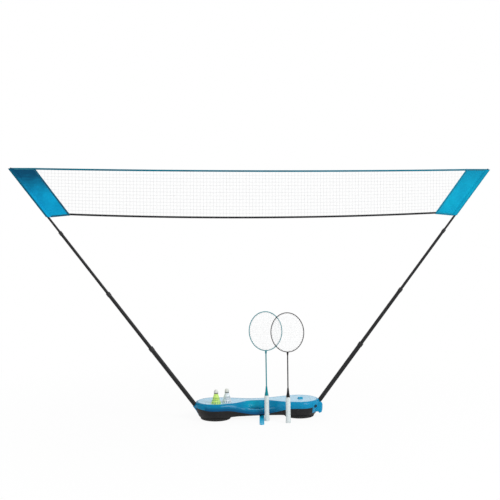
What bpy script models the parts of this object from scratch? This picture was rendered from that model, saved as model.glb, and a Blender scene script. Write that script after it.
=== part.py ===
"""Portable badminton net set: a hinged case that stands on the floor and carries two telescopic poles.

The net hangs between the poles. Two rackets stand before the case and two shuttlecocks on its lid.
Metres, +Z up. The origin is on the floor under the middle of the case, +X runs along the net and -Y is the front.
"""

import math

import bmesh
import bpy
from mathutils import Matrix, Vector

# Clearances
GAP = 0.0003
SLIDING_GAP = 0.0006
WALL = 0.0025

# Case plan: two round lobes joined by a waist
LOBE_X = 0.262
LOBE_RADIUS = 0.118
CASE_END = 0.391
END_STRETCH = (CASE_END - LOBE_X) / LOBE_RADIUS
WAIST_HALF_DEPTH = 0.080
LOBE_STEPS = 12
WAIST_STEPS = 14

# Case heights
PAD_HEIGHT = 0.016
WAIST_UNDERSIDE = 0.0225
PARTING_AT_LOBE = 0.066
PARTING_AT_WAIST = 0.031
PARTING_AT_END = 0.074
CASE_TOP = 0.105
LOBE_FLARE = 0.026
WAIST_FLARE = 0.012
TOP_PANEL_RECESS = 0.0012
TOP_PANEL_RIM = 0.003
LID_SHOULDER = 0.016
WAIST_SLOPE_FRONT = 0.053
WAIST_SLOPE_BACK = 0.021
PAD_RADIUS = 0.094

# Carrying handle: a finger well behind the front band of the waist
HANDLE_WIDTH = 0.118
HANDLE_FRONT = -0.0690
HANDLE_BACK = -0.0450
HANDLE_FLOOR = 0.0420
HANDLE_FRONT_RISE = 0.4057
HANDLE_BACK_RISE = 0.5251
HANDLE_WALL = 0.0020

# Lid hinge at the back of each lobe
HINGE_RADIUS = 0.0055
HINGE_PIN_RADIUS = 0.002
HINGE_Y = LOBE_RADIUS + HINGE_RADIUS + 0.0006
HINGE_Z = PARTING_AT_LOBE
LID_KNUCKLE = 0.030
SHELL_KNUCKLE = 0.018
KNUCKLE_GAP = 0.0005

# Quarter-turn lid locks
KNOB_X = 0.270
KNOB_RADIUS = 0.017
KNOB_HEIGHT = 0.009
KNOB_STEM = 0.0050
KNOB_BAR = 0.014
KNOB_BAR_HALF_WIDTH = 0.004
KNOB_BAR_THICKNESS = 0.004
POST_RADIUS = 0.0195
POST_WALL = 0.0025
POST_TOP = CASE_TOP - 0.015
POST_SLOT_HALF_LENGTH = 0.0155
POST_SLOT_HALF_WIDTH = 0.0080

# Swing-out legs under the waist
LEG_PIVOT_X = 0.0195
LEG_PIVOT_Y = 0.050
LEG_SPLAY = math.radians(8.3)
LEG_REACH = 0.165
LEG_WIDTH = 0.029
LEG_THICKNESS = 0.0075
LEG_FOOT_LENGTH = 0.038
PIN_RADIUS = 0.0032
PIN_HEAD_RADIUS = 0.0075
PIN_HEAD = 0.0035

# Poles: four telescopic tubes on each side
POLE_LEAN = math.radians(37.4)
POLE_X = CASE_END - 0.017
POLE_Z = 0.065
POLE_START = -0.018
POLE_STEPS = (0.475, 0.903, 1.374, 1.8585)
TUBE_RADII = (0.0136, 0.0112, 0.0089, 0.0068)
TUBE_WALLS = (0.0018, 0.0017, 0.0015, 0.0012)
TUBE_OVERLAP = 0.060
TUBE_SIDES = 18
COLLAR_WALL = 0.0016
COLLAR_LENGTH = 0.022
COLLAR_LIP = 0.0030
CAP_WALL = 0.0018
CAP_LENGTH = 0.018

# Fixed end pieces that hold the poles
END_X = CASE_END - 0.061
END_Z = 0.0290
BRACKET_EDGE = 0.0240
NOSE_ROOT = CASE_END - 0.049
NOSE_TOP = 0.0920
NOSE_HALF_WIDTH = 0.0220
RIGHT_NOSE_FRONT = 0.0620
NOSE_CORNER = 0.0340
# Their points are (distance past the case's end, height)
RIGHT_NOSE = ((-0.0150, 0.0330), (-0.0125, 0.0245), (0.0040, 0.0275), (0.0120, 0.0450), (0.0145, 0.0680), (0.0090, 0.0840))
LEFT_NOSE = ((-0.0170, 0.0380), (-0.0125, 0.0450), (-0.0070, 0.0550), (0.0005, 0.0680), (0.0035, 0.0780), (0.0015, 0.0860))
NOSE_SHOULDER_X = CASE_END - 0.005
SOCKET_BOSS_RADIUS = TUBE_RADII[0] + SLIDING_GAP + 0.0024
SOCKET_BOSS_TOP = 0.027
BUTTON_TURN = math.radians(49)
BUTTON_Z = 0.0730
BUTTON_LENGTH = 0.0245
BUTTON_HEIGHT = 0.0170
BUTTON_THICKNESS = 0.0070
BUTTON_PROUD = 0.0015
BUTTON_TRAVEL = 0.0030

# Net between the poles
NET_TOP = 1.5410
NET_TOP_SAG = 0.0085
NET_BOTTOM = 1.2625
NET_BOTTOM_SAG = 0.0235
PANEL_TOP_WIDTH = 0.144
PANEL_BOTTOM_WIDTH = 0.130
PANEL_OUTER_BOTTOM = 1.2480
FABRIC = 0.0012
HEM_WIDTH = 0.005
HEM_THICKNESS = 0.0024
TAPE_HEIGHT = 0.011
TAPE_THICKNESS = 0.0016
SLEEVE_WALL = 0.0010
SLEEVE_GAP = 0.0005
SLEEVE_MARGIN = 0.0020
STRAND_WIDTH = 0.0020
STRAND_THICKNESS = 0.0010
NET_COLUMNS = 34
NET_ROWS = 4
TAPE_STEPS = 20

# Rackets
RACKET_LENGTH = 0.668
HEAD_HALF_WIDTH = 0.1075
HEAD_HALF_LENGTH = 0.1245
RIM_RADIAL = 0.0046
RIM_DEPTH = 0.0052
RIM_STEPS = 40
SHAFT_RADIUS = 0.0037
GRIP_LENGTH = 0.150
CONE_LENGTH = 0.056
THROAT_RADIUS = 0.0058
THROAT_LENGTH = 0.016
GRIP_BUTT_RADIUS = 0.0145
STRING_SPACING = 0.0322
STRING_WIDTH = 0.0013
RACKET_LEAN = math.radians(13.0)

# Shuttlecocks
SKIRT_RADIUS = 0.030
SKIRT_NECK = 0.0122
SKIRT_HEIGHT = 0.060
SKIRT_WALL = 0.0010
CORK_RADIUS = 0.0130
CORK_HEIGHT = 0.025


def material(name, colour, roughness, metallic=0.0):
    finish = bpy.data.materials.new(name)
    finish.use_nodes = True
    shader = finish.node_tree.nodes["Principled BSDF"]
    shader.inputs["Base Color"].default_value = (*colour, 1.0)
    shader.inputs["Roughness"].default_value = roughness
    shader.inputs["Metallic"].default_value = metallic
    finish.diffuse_color = (*colour, 1.0)
    return finish


def new_object(name, points, faces, finish, parent=None, smooth=math.radians(35)):
    """A mesh object whose faces are turned outwards."""
    shape = bmesh.new()
    corners = [shape.verts.new(p) for p in points]
    for face in faces:
        shape.faces.new([corners[i] for i in face])
    bmesh.ops.recalc_face_normals(shape, faces=shape.faces)
    mesh = bpy.data.meshes.new(name)
    shape.to_mesh(mesh)
    shape.free()
    mesh.shade_smooth()
    mesh.set_sharp_from_angle(angle=smooth)
    if finish:
        mesh.materials.append(finish)
    made = bpy.data.objects.new(name, mesh)
    bpy.context.scene.collection.objects.link(made)
    made.parent = parent
    return made


def frame_empty(name, matrix):
    """An empty that carries the pieces of one moving assembly."""
    empty = bpy.data.objects.new(name, None)
    empty.empty_display_size = 0.05
    empty.matrix_world = matrix
    bpy.context.scene.collection.objects.link(empty)
    return empty


def lathe(name, profile, finish, sides=24, parent=None, origin=(0, 0, 0)):
    """Turns a closed outline of (radius, height) points round +Z. A point at radius 0 becomes one vertex."""
    points, rings = [], []
    for radius, height in profile:
        if radius < 1e-9:
            rings.append([len(points)] * sides)
            points.append((0.0, 0.0, height))
            continue
        rings.append(list(range(len(points), len(points) + sides)))
        for k in range(sides):
            turn = 2 * math.pi * k / sides
            points.append((radius * math.cos(turn), radius * math.sin(turn), height))
    faces = []
    closed = profile[0][0] > 1e-9
    pairs = list(zip(rings, rings[1:])) + ([(rings[-1], rings[0])] if closed else [])
    for low, high in pairs:
        for k in range(sides):
            j = (k + 1) % sides
            face = list(dict.fromkeys([low[k], low[j], high[j], high[k]]))
            if len(face) > 2:
                faces.append(face)
    made = new_object(name, points, faces, finish, parent)
    made.location = origin
    return made


def prism(name, outline, finish, half_depth, parent=None):
    """Extrudes an (x, z) outline along Y. half_depth is a number, or a function of z for a drafted side."""
    reach = half_depth if callable(half_depth) else lambda z: half_depth
    count = len(outline)
    points = [(x, -reach(z), z) for x, z in outline] + [(x, reach(z), z) for x, z in outline]
    faces = [list(range(count)), list(range(2 * count - 1, count - 1, -1))]
    faces += [[i, (i + 1) % count, (i + 1) % count + count, i + count] for i in range(count)]
    return new_object(name, points, faces, finish, parent)


def plate(name, outline, finish, low, high, parent=None):
    """Extrudes an (x, y) outline from one height to another."""
    count = len(outline)
    points = [(x, y, low) for x, y in outline] + [(x, y, high) for x, y in outline]
    faces = [list(range(count)), list(range(2 * count - 1, count - 1, -1))]
    faces += [[i, (i + 1) % count, (i + 1) % count + count, i + count] for i in range(count)]
    return new_object(name, points, faces, finish, parent)


def stadium(length, width, steps=8):
    """A slot outline of this overall length along x and width along y, round at both ends."""
    radius = width / 2
    run = length / 2 - radius
    outline = []
    for side, start in ((1, -math.pi / 2), (-1, math.pi / 2)):
        for k in range(steps + 1):
            turn = start + math.pi * k / steps
            outline.append((side * run + radius * math.cos(turn), radius * math.sin(turn)))
    return outline


def boolean(target, tool, operation="DIFFERENCE"):
    """Adds a Boolean, and hides the tool from the render."""
    step = target.modifiers.new(operation.title() + " " + tool.name, "BOOLEAN")
    step.operation = operation
    step.solver = "EXACT"
    step.object = tool
    tool.hide_render = True
    tool.display_type = "WIRE"
    return target


def smoothstep(value, low, high):
    t = min(max((value - low) / (high - low), 0.0), 1.0)
    return t * t * (3 - 2 * t)


def towards_lobe(x):
    """0 in the middle of the waist, 1 at the lobes."""
    return smoothstep(abs(x), 0.070, 0.215)


def at_waist(x):
    """1 where the lid's sloping front is deepest, 0 where its top is full again."""
    return 1.0 - smoothstep(abs(x), 0.040, 0.165)


def parting_height(x):
    """Low at the waist, level over each lobe's hinge, and rising again to the case's ends."""
    rise = (PARTING_AT_LOBE - PARTING_AT_WAIST) * smoothstep(abs(x), 0.010, 0.228)
    return PARTING_AT_WAIST + rise + (PARTING_AT_END - PARTING_AT_LOBE) * smoothstep(abs(x), 0.300, CASE_END)


def underside_height(x):
    return WAIST_UNDERSIDE + (PAD_HEIGHT + GAP - WAIST_UNDERSIDE) * smoothstep(abs(x), 0.115, 0.215)


def lobe_edge(turn):
    """Point and outward normal of the right lobe's outline. turn is measured from +X before the stretch."""
    stretch = END_STRETCH if math.cos(turn) > 0 else 1.0
    place = Vector((LOBE_X + LOBE_RADIUS * stretch * math.cos(turn), LOBE_RADIUS * math.sin(turn)))
    return place, Vector((math.cos(turn) / stretch, math.sin(turn))).normalized()


def case_outline():
    """Points (x, half depth) and their outward normals from left to right: lobe arc, hollow waist arc, lobe arc.

    The outer half of each lobe is stretched along x, so that it is half an ellipse.
    """
    lobe, waist = LOBE_RADIUS, WAIST_HALF_DEPTH
    hollow = (LOBE_X**2 + waist**2 - lobe**2) / (2 * (lobe - waist))
    tangent = math.asin(LOBE_X / (lobe + hollow))
    right = []
    for k in range(LOBE_STEPS + 1):
        turn = (math.pi / 2 + tangent) * (1 - k / LOBE_STEPS)
        right.append(lobe_edge(turn))
    middle = []
    for k in range(1, WAIST_STEPS):
        turn = -tangent + 2 * tangent * k / WAIST_STEPS
        out = Vector((-math.sin(turn), math.cos(turn)))
        middle.append((Vector((0, waist + hollow)) - out * hollow, out))
    mirror = Vector((-1, 1))
    left = [(place * mirror, out * mirror) for place, out in reversed(right)]
    return left + middle + right


def case_ring(inset, height, front_shift=0.0, back_shift=0.0):
    """One closed ring of the case: its front and its back, each from left to right.

    inset is a length, or a function of x. height is a function of x. The shifts draw the ring in at the waist.
    """
    drawn_in = inset if callable(inset) else lambda x: inset
    front, back = [], []
    for place, out in case_outline():
        waist = at_waist(place.x)
        x, y = place - out * drawn_in(place.x)
        front.append((x, -y + front_shift * waist, height(place.x)))
        back.append((x, y - back_shift * waist, height(place.x)))
    return front, back


def case_shell(name, rings, finish):
    """A closed wall through the rings, whose first and last ring are filled across from front to back."""
    count = len(rings[0][0])
    points = []
    for front, back in rings:
        points += front + back[1:-1][::-1]
    size = 2 * count - 2
    faces = []
    for level in range(len(rings) - 1):
        here, there = level * size, (level + 1) * size
        for k in range(size):
            j = (k + 1) % size
            faces += [[here + k, here + j, there + j], [here + k, there + j, there + k]]
    for start in (0, (len(rings) - 1) * size):
        for k in range(count - 1):
            corners = [k, k + 1, size - k - 1, (size - k) % size]
            faces.append([start + i for i in dict.fromkeys(corners)])
    return new_object(name, points, faces, finish)


def level(z):
    return lambda x: z


def lid_height(share):
    """Heights this share of the way up from the lid's lower edge to its top."""

    def height(x):
        low = parting_height(x) + GAP
        return low + (CASE_TOP - low) * share

    return height


def bowl_height(share, lift=0.0):
    """Heights this share of the way up from the underside to the parting edge."""

    def height(x):
        low = underside_height(x) + lift
        return low + (parting_height(x) - low) * share

    return height


def bowl_flare(share, wall=0.0):
    """The bowl draws in towards its underside, more under the lobes than under the thin waist."""

    def inset(x):
        full = WAIST_FLARE + (LOBE_FLARE - WAIST_FLARE) * towards_lobe(x)
        return full * (1 - share) ** 1.4 + wall

    return inset


def lid_rings():
    """Outer skin from the recessed top panel down to the parting edge, then the inner skin back up."""
    front, back = WAIST_SLOPE_FRONT, WAIST_SLOPE_BACK
    rim = LID_SHOULDER + TOP_PANEL_RIM
    ceiling = CASE_TOP - TOP_PANEL_RECESS - WALL
    outer = [
        case_ring(rim + TOP_PANEL_RECESS, level(CASE_TOP - TOP_PANEL_RECESS), front, back),
        case_ring(rim, level(CASE_TOP), front, back),
        case_ring(LID_SHOULDER, level(CASE_TOP), front, back),
        case_ring(LID_SHOULDER * 0.35, lid_height(0.86), front * 0.82, back * 0.72),
        case_ring(0.0, lid_height(0.51), front * 0.66, back * 0.20),
        case_ring(0.0, lid_height(0.41), front * 0.08, back * 0.10),
        case_ring(0.0, lid_height(0.0)),
    ]
    inner = [
        case_ring(WALL, lid_height(0.0)),
        case_ring(WALL, lid_height(0.37), front * 0.08, back * 0.10),
        case_ring(WALL, lid_height(0.46), front * 0.68, back * 0.20),
        case_ring(LID_SHOULDER * 0.35 + WALL, lid_height(0.80), front * 0.82, back * 0.72),
        case_ring(LID_SHOULDER + WALL, level(ceiling), front, back),
    ]
    return outer + inner


def shell_rings():
    """Outer skin from the underside up to the parting edge, then the inner skin down to the floor."""
    outer = [case_ring(bowl_flare(share), bowl_height(share)) for share in (0.0, 0.16, 0.5, 1.0)]
    inner = [
        case_ring(WALL, bowl_height(1.0)),
        case_ring(bowl_flare(0.5, WALL), bowl_height(0.5)),
        case_ring(bowl_flare(0.1, WALL), bowl_height(0.0, WALL)),
    ]
    return outer + inner


def end_rings():
    """Outer skin of lid and bowl together, from the underside to the recessed top panel."""
    bowl = [case_ring(bowl_flare(share), bowl_height(share)) for share in (0.0, 0.16, 0.5, 1.0)]
    rim = LID_SHOULDER + TOP_PANEL_RIM
    lid = [
        case_ring(0.0, lid_height(0.51)),
        case_ring(LID_SHOULDER * 0.35, lid_height(0.86)),
        case_ring(LID_SHOULDER, level(CASE_TOP)),
        case_ring(rim, level(CASE_TOP)),
        case_ring(rim + TOP_PANEL_RECESS, level(CASE_TOP - TOP_PANEL_RECESS)),
    ]
    return bowl + lid


def cylinder_tool(name, radius, low, high, sides=24, finish=None):
    return lathe(name, [(0, low), (radius, low), (radius, high), (0, high)], finish, sides)


def box_tool(name, low, high, finish=None):
    (x0, y0, z0), (x1, y1, z1) = low, high
    return plate(name, [(x0, y0), (x1, y0), (x1, y1), (x0, y1)], finish, z0, z1)


def along_x(made, x, y, z):
    """Lays a turned piece down so that its own +Z runs along +X."""
    made.rotation_euler = (0, math.pi / 2, 0)
    made.location = (x, y, z)
    return made


def add_knuckles(body, lobe, spans, web_low, web_high):
    """Joins hinge knuckles and their webs to a shell. Each span is (start, end) along x from the lobe's middle."""
    for number, (start, end) in enumerate(spans):
        tag = f"{body.name}_{'left' if lobe < 0 else 'right'}_{number}"
        x0, x1 = lobe * LOBE_X + start, lobe * LOBE_X + end
        web = box_tool(tag + "_web", (x0, HINGE_Y - 0.0130, web_low), (x1, HINGE_Y, web_high))
        boolean(body, web, "UNION")
        barrel = cylinder_tool(tag + "_barrel", HINGE_RADIUS, 0, end - start, 16)
        boolean(body, along_x(barrel, x0, HINGE_Y, HINGE_Z), "UNION")
    reach = LID_KNUCKLE / 2 + SHELL_KNUCKLE + 0.02
    bore = cylinder_tool(f"{body.name}_{lobe}_bore", HINGE_PIN_RADIUS + GAP, -reach, reach, 12)
    boolean(body, along_x(bore, lobe * LOBE_X, HINGE_Y, HINGE_Z))


def beyond_end(name, side, start, low, high=0.2, inner=-0.2, outer=0.2):
    """A box past x = start at one end of the case. Its width runs from inner to outer, turned round at the left end."""
    x0, x1 = sorted((side * start, side * 0.5))
    y0, y1 = sorted((side * inner, side * outer))
    return box_tool(name, (x0, y0, low), (x1, y1, high))


def under_parting(name, side, inner, outer=0.2):
    """What lies under the parting line at one end of the case. Its width is given as in beyond_end."""
    start, count = END_X - 0.039, 10
    step = (CASE_END + 0.0140 - start) / (count - 1)
    line = [(start + step * k, parting_height(start + step * k) + 2 * GAP) for k in range(count)]
    outline = [(side * x, z) for x, z in [*line, (line[-1][0], 0.0), (start, 0.0)]]
    made = prism(name, outline, None, (outer - inner) / 2)
    made.location = (0, side * (inner + outer) / 2, 0)
    return made


def make_lower_shell(finish):
    shell = case_shell("lower_shell", shell_rings(), finish)
    inner_end = LID_KNUCKLE / 2 + KNUCKLE_GAP
    outer_end = inner_end + SHELL_KNUCKLE
    for side in (-1, 1):
        spans = [(-outer_end, -inner_end), (inner_end, outer_end)]
        add_knuckles(shell, side, spans, HINGE_Z - 0.014, HINGE_Z - 0.0005)
        notch = beyond_end(f"lower_end_{side}", side, END_X - GAP, END_Z - GAP, outer=BRACKET_EDGE + GAP)
        boolean(shell, notch)
    for name, side in (("front", -1), ("rear", 1)):
        hole = cylinder_tool(f"{name}_pin_hole", PIN_RADIUS + GAP, 0.01, 0.04, 16)
        hole.location = leg_pivot(side)
        hole.rotation_euler = (0, 0, math.pi / 16)
        boolean(shell, hole)
    return shell


def make_upper_shell(finish):
    lid = case_shell("upper_shell", lid_rings(), finish)
    half = LID_KNUCKLE / 2
    for side in (-1, 1):
        add_knuckles(lid, side, [(-half, half)], HINGE_Z + 0.0008, HINGE_Z + 0.012)
        boolean(lid, beyond_end(f"upper_end_{side}", side, END_X - 2 * GAP, 0.0))
        hole = cylinder_tool(f"stem_hole_{side}", KNOB_STEM + GAP * 2, POST_TOP, CASE_TOP + 0.015, 16)
        hole.location = (side * KNOB_X, 0, 0)
        boolean(lid, hole)
    return add_handle(lid)


def add_handle(lid):
    """A finger well moulded behind the front band of the waist; the band is the carrying handle."""
    wall = HANDLE_WALL
    half = HANDLE_WIDTH / 2
    section = [
        (HANDLE_FRONT - wall, HANDLE_FLOOR - wall),
        (HANDLE_BACK + wall, HANDLE_FLOOR - wall),
        (HANDLE_BACK + wall, lid_height(HANDLE_BACK_RISE)(0)),
        (HANDLE_FRONT - wall, lid_height(HANDLE_FRONT_RISE)(0)),
    ]
    points = [(x, y, z) for x in (-half - wall, half + wall) for y, z in section]
    faces = [[0, 1, 2, 3], [7, 6, 5, 4]] + [[i, (i + 1) % 4, (i + 1) % 4 + 4, i + 4] for i in range(4)]
    well = new_object("handle_well", points, faces, None)
    depth = HANDLE_BACK - HANDLE_FRONT
    slot = plate("handle_slot", stadium(HANDLE_WIDTH, depth, 5), None, HANDLE_FLOOR, 0.12)
    slot.location = (0, (HANDLE_FRONT + HANDLE_BACK) / 2, 0)
    boolean(lid, well, "UNION")
    return boolean(lid, slot)


def make_hinge_pin(side, finish):
    half = LID_KNUCKLE / 2 + KNUCKLE_GAP + SHELL_KNUCKLE + 0.001
    name = "left_hinge_pin" if side < 0 else "right_hinge_pin"
    pin = lathe(
        name,
        [(0, -half), (HINGE_PIN_RADIUS, -half), (HINGE_PIN_RADIUS, half), (0, half)],
        finish,
        12,
    )
    return along_x(pin, side * LOBE_X, HINGE_Y, HINGE_Z)


def make_foot_pad(side, finish):
    edge = 0.003
    radius = PAD_RADIUS
    profile = [(0, 0), (radius - edge, 0), (radius, edge), (radius, PAD_HEIGHT - 0.0004), (0, PAD_HEIGHT - 0.0004)]
    name = "left_foot_pad" if side < 0 else "right_foot_pad"
    return lathe(name, profile, finish, 40, origin=(side * LOBE_X, 0, 0))


def make_lock_post(side, finish):
    """The keeper that the lid lock turns under: a hollow post with a slotted top."""
    floor = PAD_HEIGHT + GAP + WALL + GAP
    inner = POST_RADIUS - POST_WALL
    profile = [
        (inner, floor),
        (POST_RADIUS, floor),
        (POST_RADIUS, POST_TOP),
        (0, POST_TOP),
        (0, POST_TOP - POST_WALL),
        (inner, POST_TOP - POST_WALL),
    ]
    name = "left_lock_post" if side < 0 else "right_lock_post"
    post = lathe_open(name, profile, finish, 24)
    post.location = (side * KNOB_X, 0, 0)
    slot = box_tool(
        name + "_slot",
        (-POST_SLOT_HALF_LENGTH, -POST_SLOT_HALF_WIDTH, POST_TOP - 0.01),
        (POST_SLOT_HALF_LENGTH, POST_SLOT_HALF_WIDTH, POST_TOP + 0.01),
    )
    slot.location = post.location
    return boolean(post, slot)


def lathe_open(name, profile, finish, sides):
    """A cup: its outline runs from the mouth's inner edge over the outside, and back along the inside."""
    middle = next(i for i, (radius, _) in enumerate(profile) if radius < 1e-9)
    turned = profile[middle + 1 :] + profile[: middle + 1]
    return lathe(name, turned, finish, sides)


def make_lid_knob(side, finish):
    """Round knob with a finger rib, a stem through the lid and a locking bar below."""
    name = "left_lid_knob" if side < 0 else "right_lid_knob"
    seat = CASE_TOP - TOP_PANEL_RECESS + GAP
    top = seat + KNOB_HEIGHT - 0.004
    bar_top = POST_TOP - POST_WALL - 0.0015
    bar_low = bar_top - KNOB_BAR_THICKNESS
    profile = [
        (0, bar_low),
        (KNOB_STEM, bar_low),
        (KNOB_STEM, seat),
        (KNOB_RADIUS, seat),
        (KNOB_RADIUS, top - 0.001),
        (KNOB_RADIUS - 0.001, top),
        (0, top),
    ]
    knob = lathe(name, profile, finish, 24, origin=(side * KNOB_X, 0, 0))
    rib = plate(name + "_rib", stadium(2 * KNOB_RADIUS - 0.004, 0.008, 4), None, top - 0.002, top + 0.004)
    bar = plate(name + "_bar", stadium(2 * KNOB_BAR, 2 * KNOB_BAR_HALF_WIDTH, 4), None, bar_low, bar_top)
    for tool in (rib, bar):
        tool.location = knob.location
        boolean(knob, tool, "UNION")
    return knob


def make_leg(name, side, finish):
    """A flat arm that swings out under the waist and slopes down to a round foot. side is -1 at the front."""
    top = WAIST_UNDERSIDE - GAP
    low = top - LEG_THICKNESS
    root = LEG_WIDTH / 2
    end = LEG_REACH
    outline = [
        (-root, low),
        (0.030, low),
        (end - LEG_FOOT_LENGTH, 0.0),
        (end, 0.0),
        (end, 0.0055),
        (end - 0.012, LEG_THICKNESS + 0.0005),
        (end - LEG_FOOT_LENGTH, LEG_THICKNESS + 0.0015),
        (0.032, top),
        (-root, top),
    ]
    leg = prism(name, outline, finish, LEG_WIDTH)
    plan = plate(name + "_plan", stadium(root + end, LEG_WIDTH, 10), None, -0.02, 0.05)
    plan.parent = leg
    plan.location = ((end - root) / 2, 0, 0)
    boolean(leg, plan, "INTERSECT")
    hole = cylinder_tool(name + "_hole", PIN_RADIUS + GAP, 0.0, 0.05, 16)
    hole.parent = leg
    boolean(leg, hole)
    leg.rotation_euler = (0, 0, side * math.pi / 2 - LEG_SPLAY)
    leg.location = leg_pivot(side)
    return leg


def leg_pivot(side):
    """The front leg turns on a pivot right of the middle, and the rear leg on one left of it."""
    return (-side * LEG_PIVOT_X, side * LEG_PIVOT_Y, 0)


def make_leg_pin(name, side, finish):
    """A rivet up through the leg and the case floor."""
    leg_low = WAIST_UNDERSIDE - GAP - LEG_THICKNESS
    floor_top = WAIST_UNDERSIDE + WALL
    profile = [
        (0, leg_low - GAP - PIN_HEAD),
        (PIN_HEAD_RADIUS - 0.001, leg_low - GAP - PIN_HEAD),
        (PIN_HEAD_RADIUS, leg_low - GAP - PIN_HEAD + 0.001),
        (PIN_HEAD_RADIUS, leg_low - GAP),
        (PIN_RADIUS, leg_low - GAP),
        (PIN_RADIUS, floor_top + GAP),
        (PIN_HEAD_RADIUS - 0.002, floor_top + GAP),
        (PIN_HEAD_RADIUS - 0.002, floor_top + 0.003),
        (0, floor_top + 0.003),
    ]
    return lathe(name, profile, finish, 16, origin=leg_pivot(side))


def pole_frame(side):
    """World matrix at the pole's foot, with its own +Z up the pole."""
    lean = Matrix.Rotation(side * POLE_LEAN, 4, "Y")
    return Matrix.Translation((side * POLE_X, 0, POLE_Z)) @ lean


def make_socket(side, finish):
    """The fixed end of the case: a solid block in the case's own outline, with a nose bored for the pole.

    Above the parting line it spans the whole end. Below, a bracket reaches down on the button's side only.
    """
    name = "left_socket" if side < 0 else "right_socket"
    block = case_shell(name, end_rings(), finish)
    boolean(block, beyond_end(name + "_part", side, END_X, END_Z), "INTERSECT")
    boolean(block, under_parting(name + "_bare", side, BRACKET_EDGE))
    boolean(block, make_nose(name + "_nose", side), "UNION")
    boss = cylinder_tool(name + "_boss", SOCKET_BOSS_RADIUS, POLE_START + 0.003, SOCKET_BOSS_TOP, 28)
    bore = cylinder_tool(name + "_bore", TUBE_RADII[0] + SLIDING_GAP, POLE_START - GAP, 0.1, 28)
    for tool in (boss, bore):
        tool.matrix_world = pole_frame(side)
    boolean(block, boss, "UNION")
    boolean(block, bore)
    length, height = BUTTON_LENGTH + 2 * GAP, BUTTON_HEIGHT + 2 * GAP
    pocket = plate(name + "_pocket", stadium(length, height), None, 0.0, 0.05)
    pocket.matrix_world = button_frame(side, BUTTON_THICKNESS + BUTTON_TRAVEL + 2 * GAP)
    return boolean(block, pocket)


def make_nose(name, side):
    """The blunt end beyond the case's outline. The right one reaches to the front and is round at that corner."""
    profile = [(CASE_END + past, z) for past, z in (RIGHT_NOSE if side > 0 else LEFT_NOSE)]
    outline = [(NOSE_ROOT, profile[0][1]), *profile, (NOSE_SHOULDER_X, NOSE_TOP), (NOSE_ROOT, NOSE_TOP)]
    reach = RIGHT_NOSE_FRONT if side > 0 else NOSE_HALF_WIDTH
    nose = prism(name, [(side * x, z) for x, z in outline], None, reach)
    tip = max(x for x, _ in profile) + GAP
    corner = min(NOSE_CORNER, reach / 2)
    plan = [(NOSE_ROOT - GAP, NOSE_HALF_WIDTH), (tip, NOSE_HALF_WIDTH)]
    for k in range(7):
        turn = math.pi / 2 * k / 6
        plan.append((tip - corner * (1 - math.cos(turn)), corner * (1 - math.sin(turn)) - reach))
    plan.append((NOSE_ROOT - GAP, -reach))
    tool = plate(name + "_plan", [(side * x, y) for x, y in plan], None, 0.0, 0.15)
    return boolean(nose, tool, "INTERSECT")


def button_frame(side, depth):
    """World matrix this deep behind the button's face, with its own +Z out of the case."""
    edge, out = lobe_edge(-math.atan(math.tan(BUTTON_TURN) / END_STRETCH))
    x, y = side * (edge + out * (BUTTON_PROUD - depth))
    turn = math.atan2(side * out.y, side * out.x)
    face = Matrix.Rotation(turn + math.pi / 2, 4, "Z") @ Matrix.Rotation(math.pi / 2, 4, "X")
    return Matrix.Translation((x, y, BUTTON_Z)) @ face


def make_button(side, finish):
    name = "left_release_button" if side < 0 else "right_release_button"
    depth = BUTTON_THICKNESS
    button = plate(name, stadium(BUTTON_LENGTH, BUTTON_HEIGHT), finish, 0.0, depth)
    button.matrix_world = button_frame(side, depth)
    dish = lathe(
        name + "_dish",
        [(0, depth - 0.001), (0.006, depth - 0.001), (0.0075, depth + 0.002), (0, depth + 0.002)],
        None,
        16,
    )
    dish.matrix_world = button.matrix_world
    return boolean(button, dish)


def make_pole(side, metal, plastic):
    """Four nested tubes, a collar on each joint, a plug in the foot and a cap on the tip."""
    word = "left" if side < 0 else "right"
    axis = frame_empty(f"{word}_pole_axis", pole_frame(side))
    starts = [POLE_START] + [top - TUBE_OVERLAP for top in POLE_STEPS[:-1]]
    for number, (low, high) in enumerate(zip(starts, POLE_STEPS)):
        radius = TUBE_RADII[number]
        bore = radius - TUBE_WALLS[number]
        profile = [(bore, low), (radius, low), (radius, high), (bore, high)]
        lathe(f"{word}_pole_{number + 1}", profile, metal, TUBE_SIDES, axis)
    for number, top in enumerate(POLE_STEPS[:-1]):
        make_collar(f"{word}_collar_{number + 1}", number, top, plastic, axis)
    make_base_plug(f"{word}_base_plug", plastic, axis)
    make_tip_cap(f"{word}_tip_cap", plastic, axis)


def make_collar(name, number, top, finish, axis):
    radius = TUBE_RADII[number] + GAP
    outer = radius + COLLAR_WALL
    lip = TUBE_RADII[number + 1] + GAP
    low, high = top - COLLAR_LENGTH, top + COLLAR_LIP
    profile = [
        (radius, low),
        (outer - 0.0008, low),
        (outer, low + 0.001),
        (outer, high - 0.0015),
        (outer - 0.0015, high),
        (lip, high),
        (lip, top + GAP),
        (radius, top + GAP),
    ]
    return lathe(name, profile, finish, TUBE_SIDES, axis)


def make_base_plug(name, finish, axis):
    bore = TUBE_RADII[0] - TUBE_WALLS[0] - GAP
    low = POLE_START
    profile = [(0, low), (bore, low), (bore, low + 0.012), (bore - 0.002, low + 0.014), (0, low + 0.014)]
    return lathe(name, profile, finish, TUBE_SIDES, axis)


def make_tip_cap(name, finish, axis):
    radius = TUBE_RADII[3] + GAP
    outer = radius + CAP_WALL
    top = POLE_STEPS[3]
    low, high = top - CAP_LENGTH, top + CAP_WALL
    profile = [
        (0, top + GAP),
        (radius, top + GAP),
        (radius, low),
        (outer, low),
        (outer, high - 0.0015),
        (outer - 0.002, high + 0.0005),
        (0, high + 0.0005),
    ]
    return lathe(name, profile, finish, TUBE_SIDES, axis)


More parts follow.
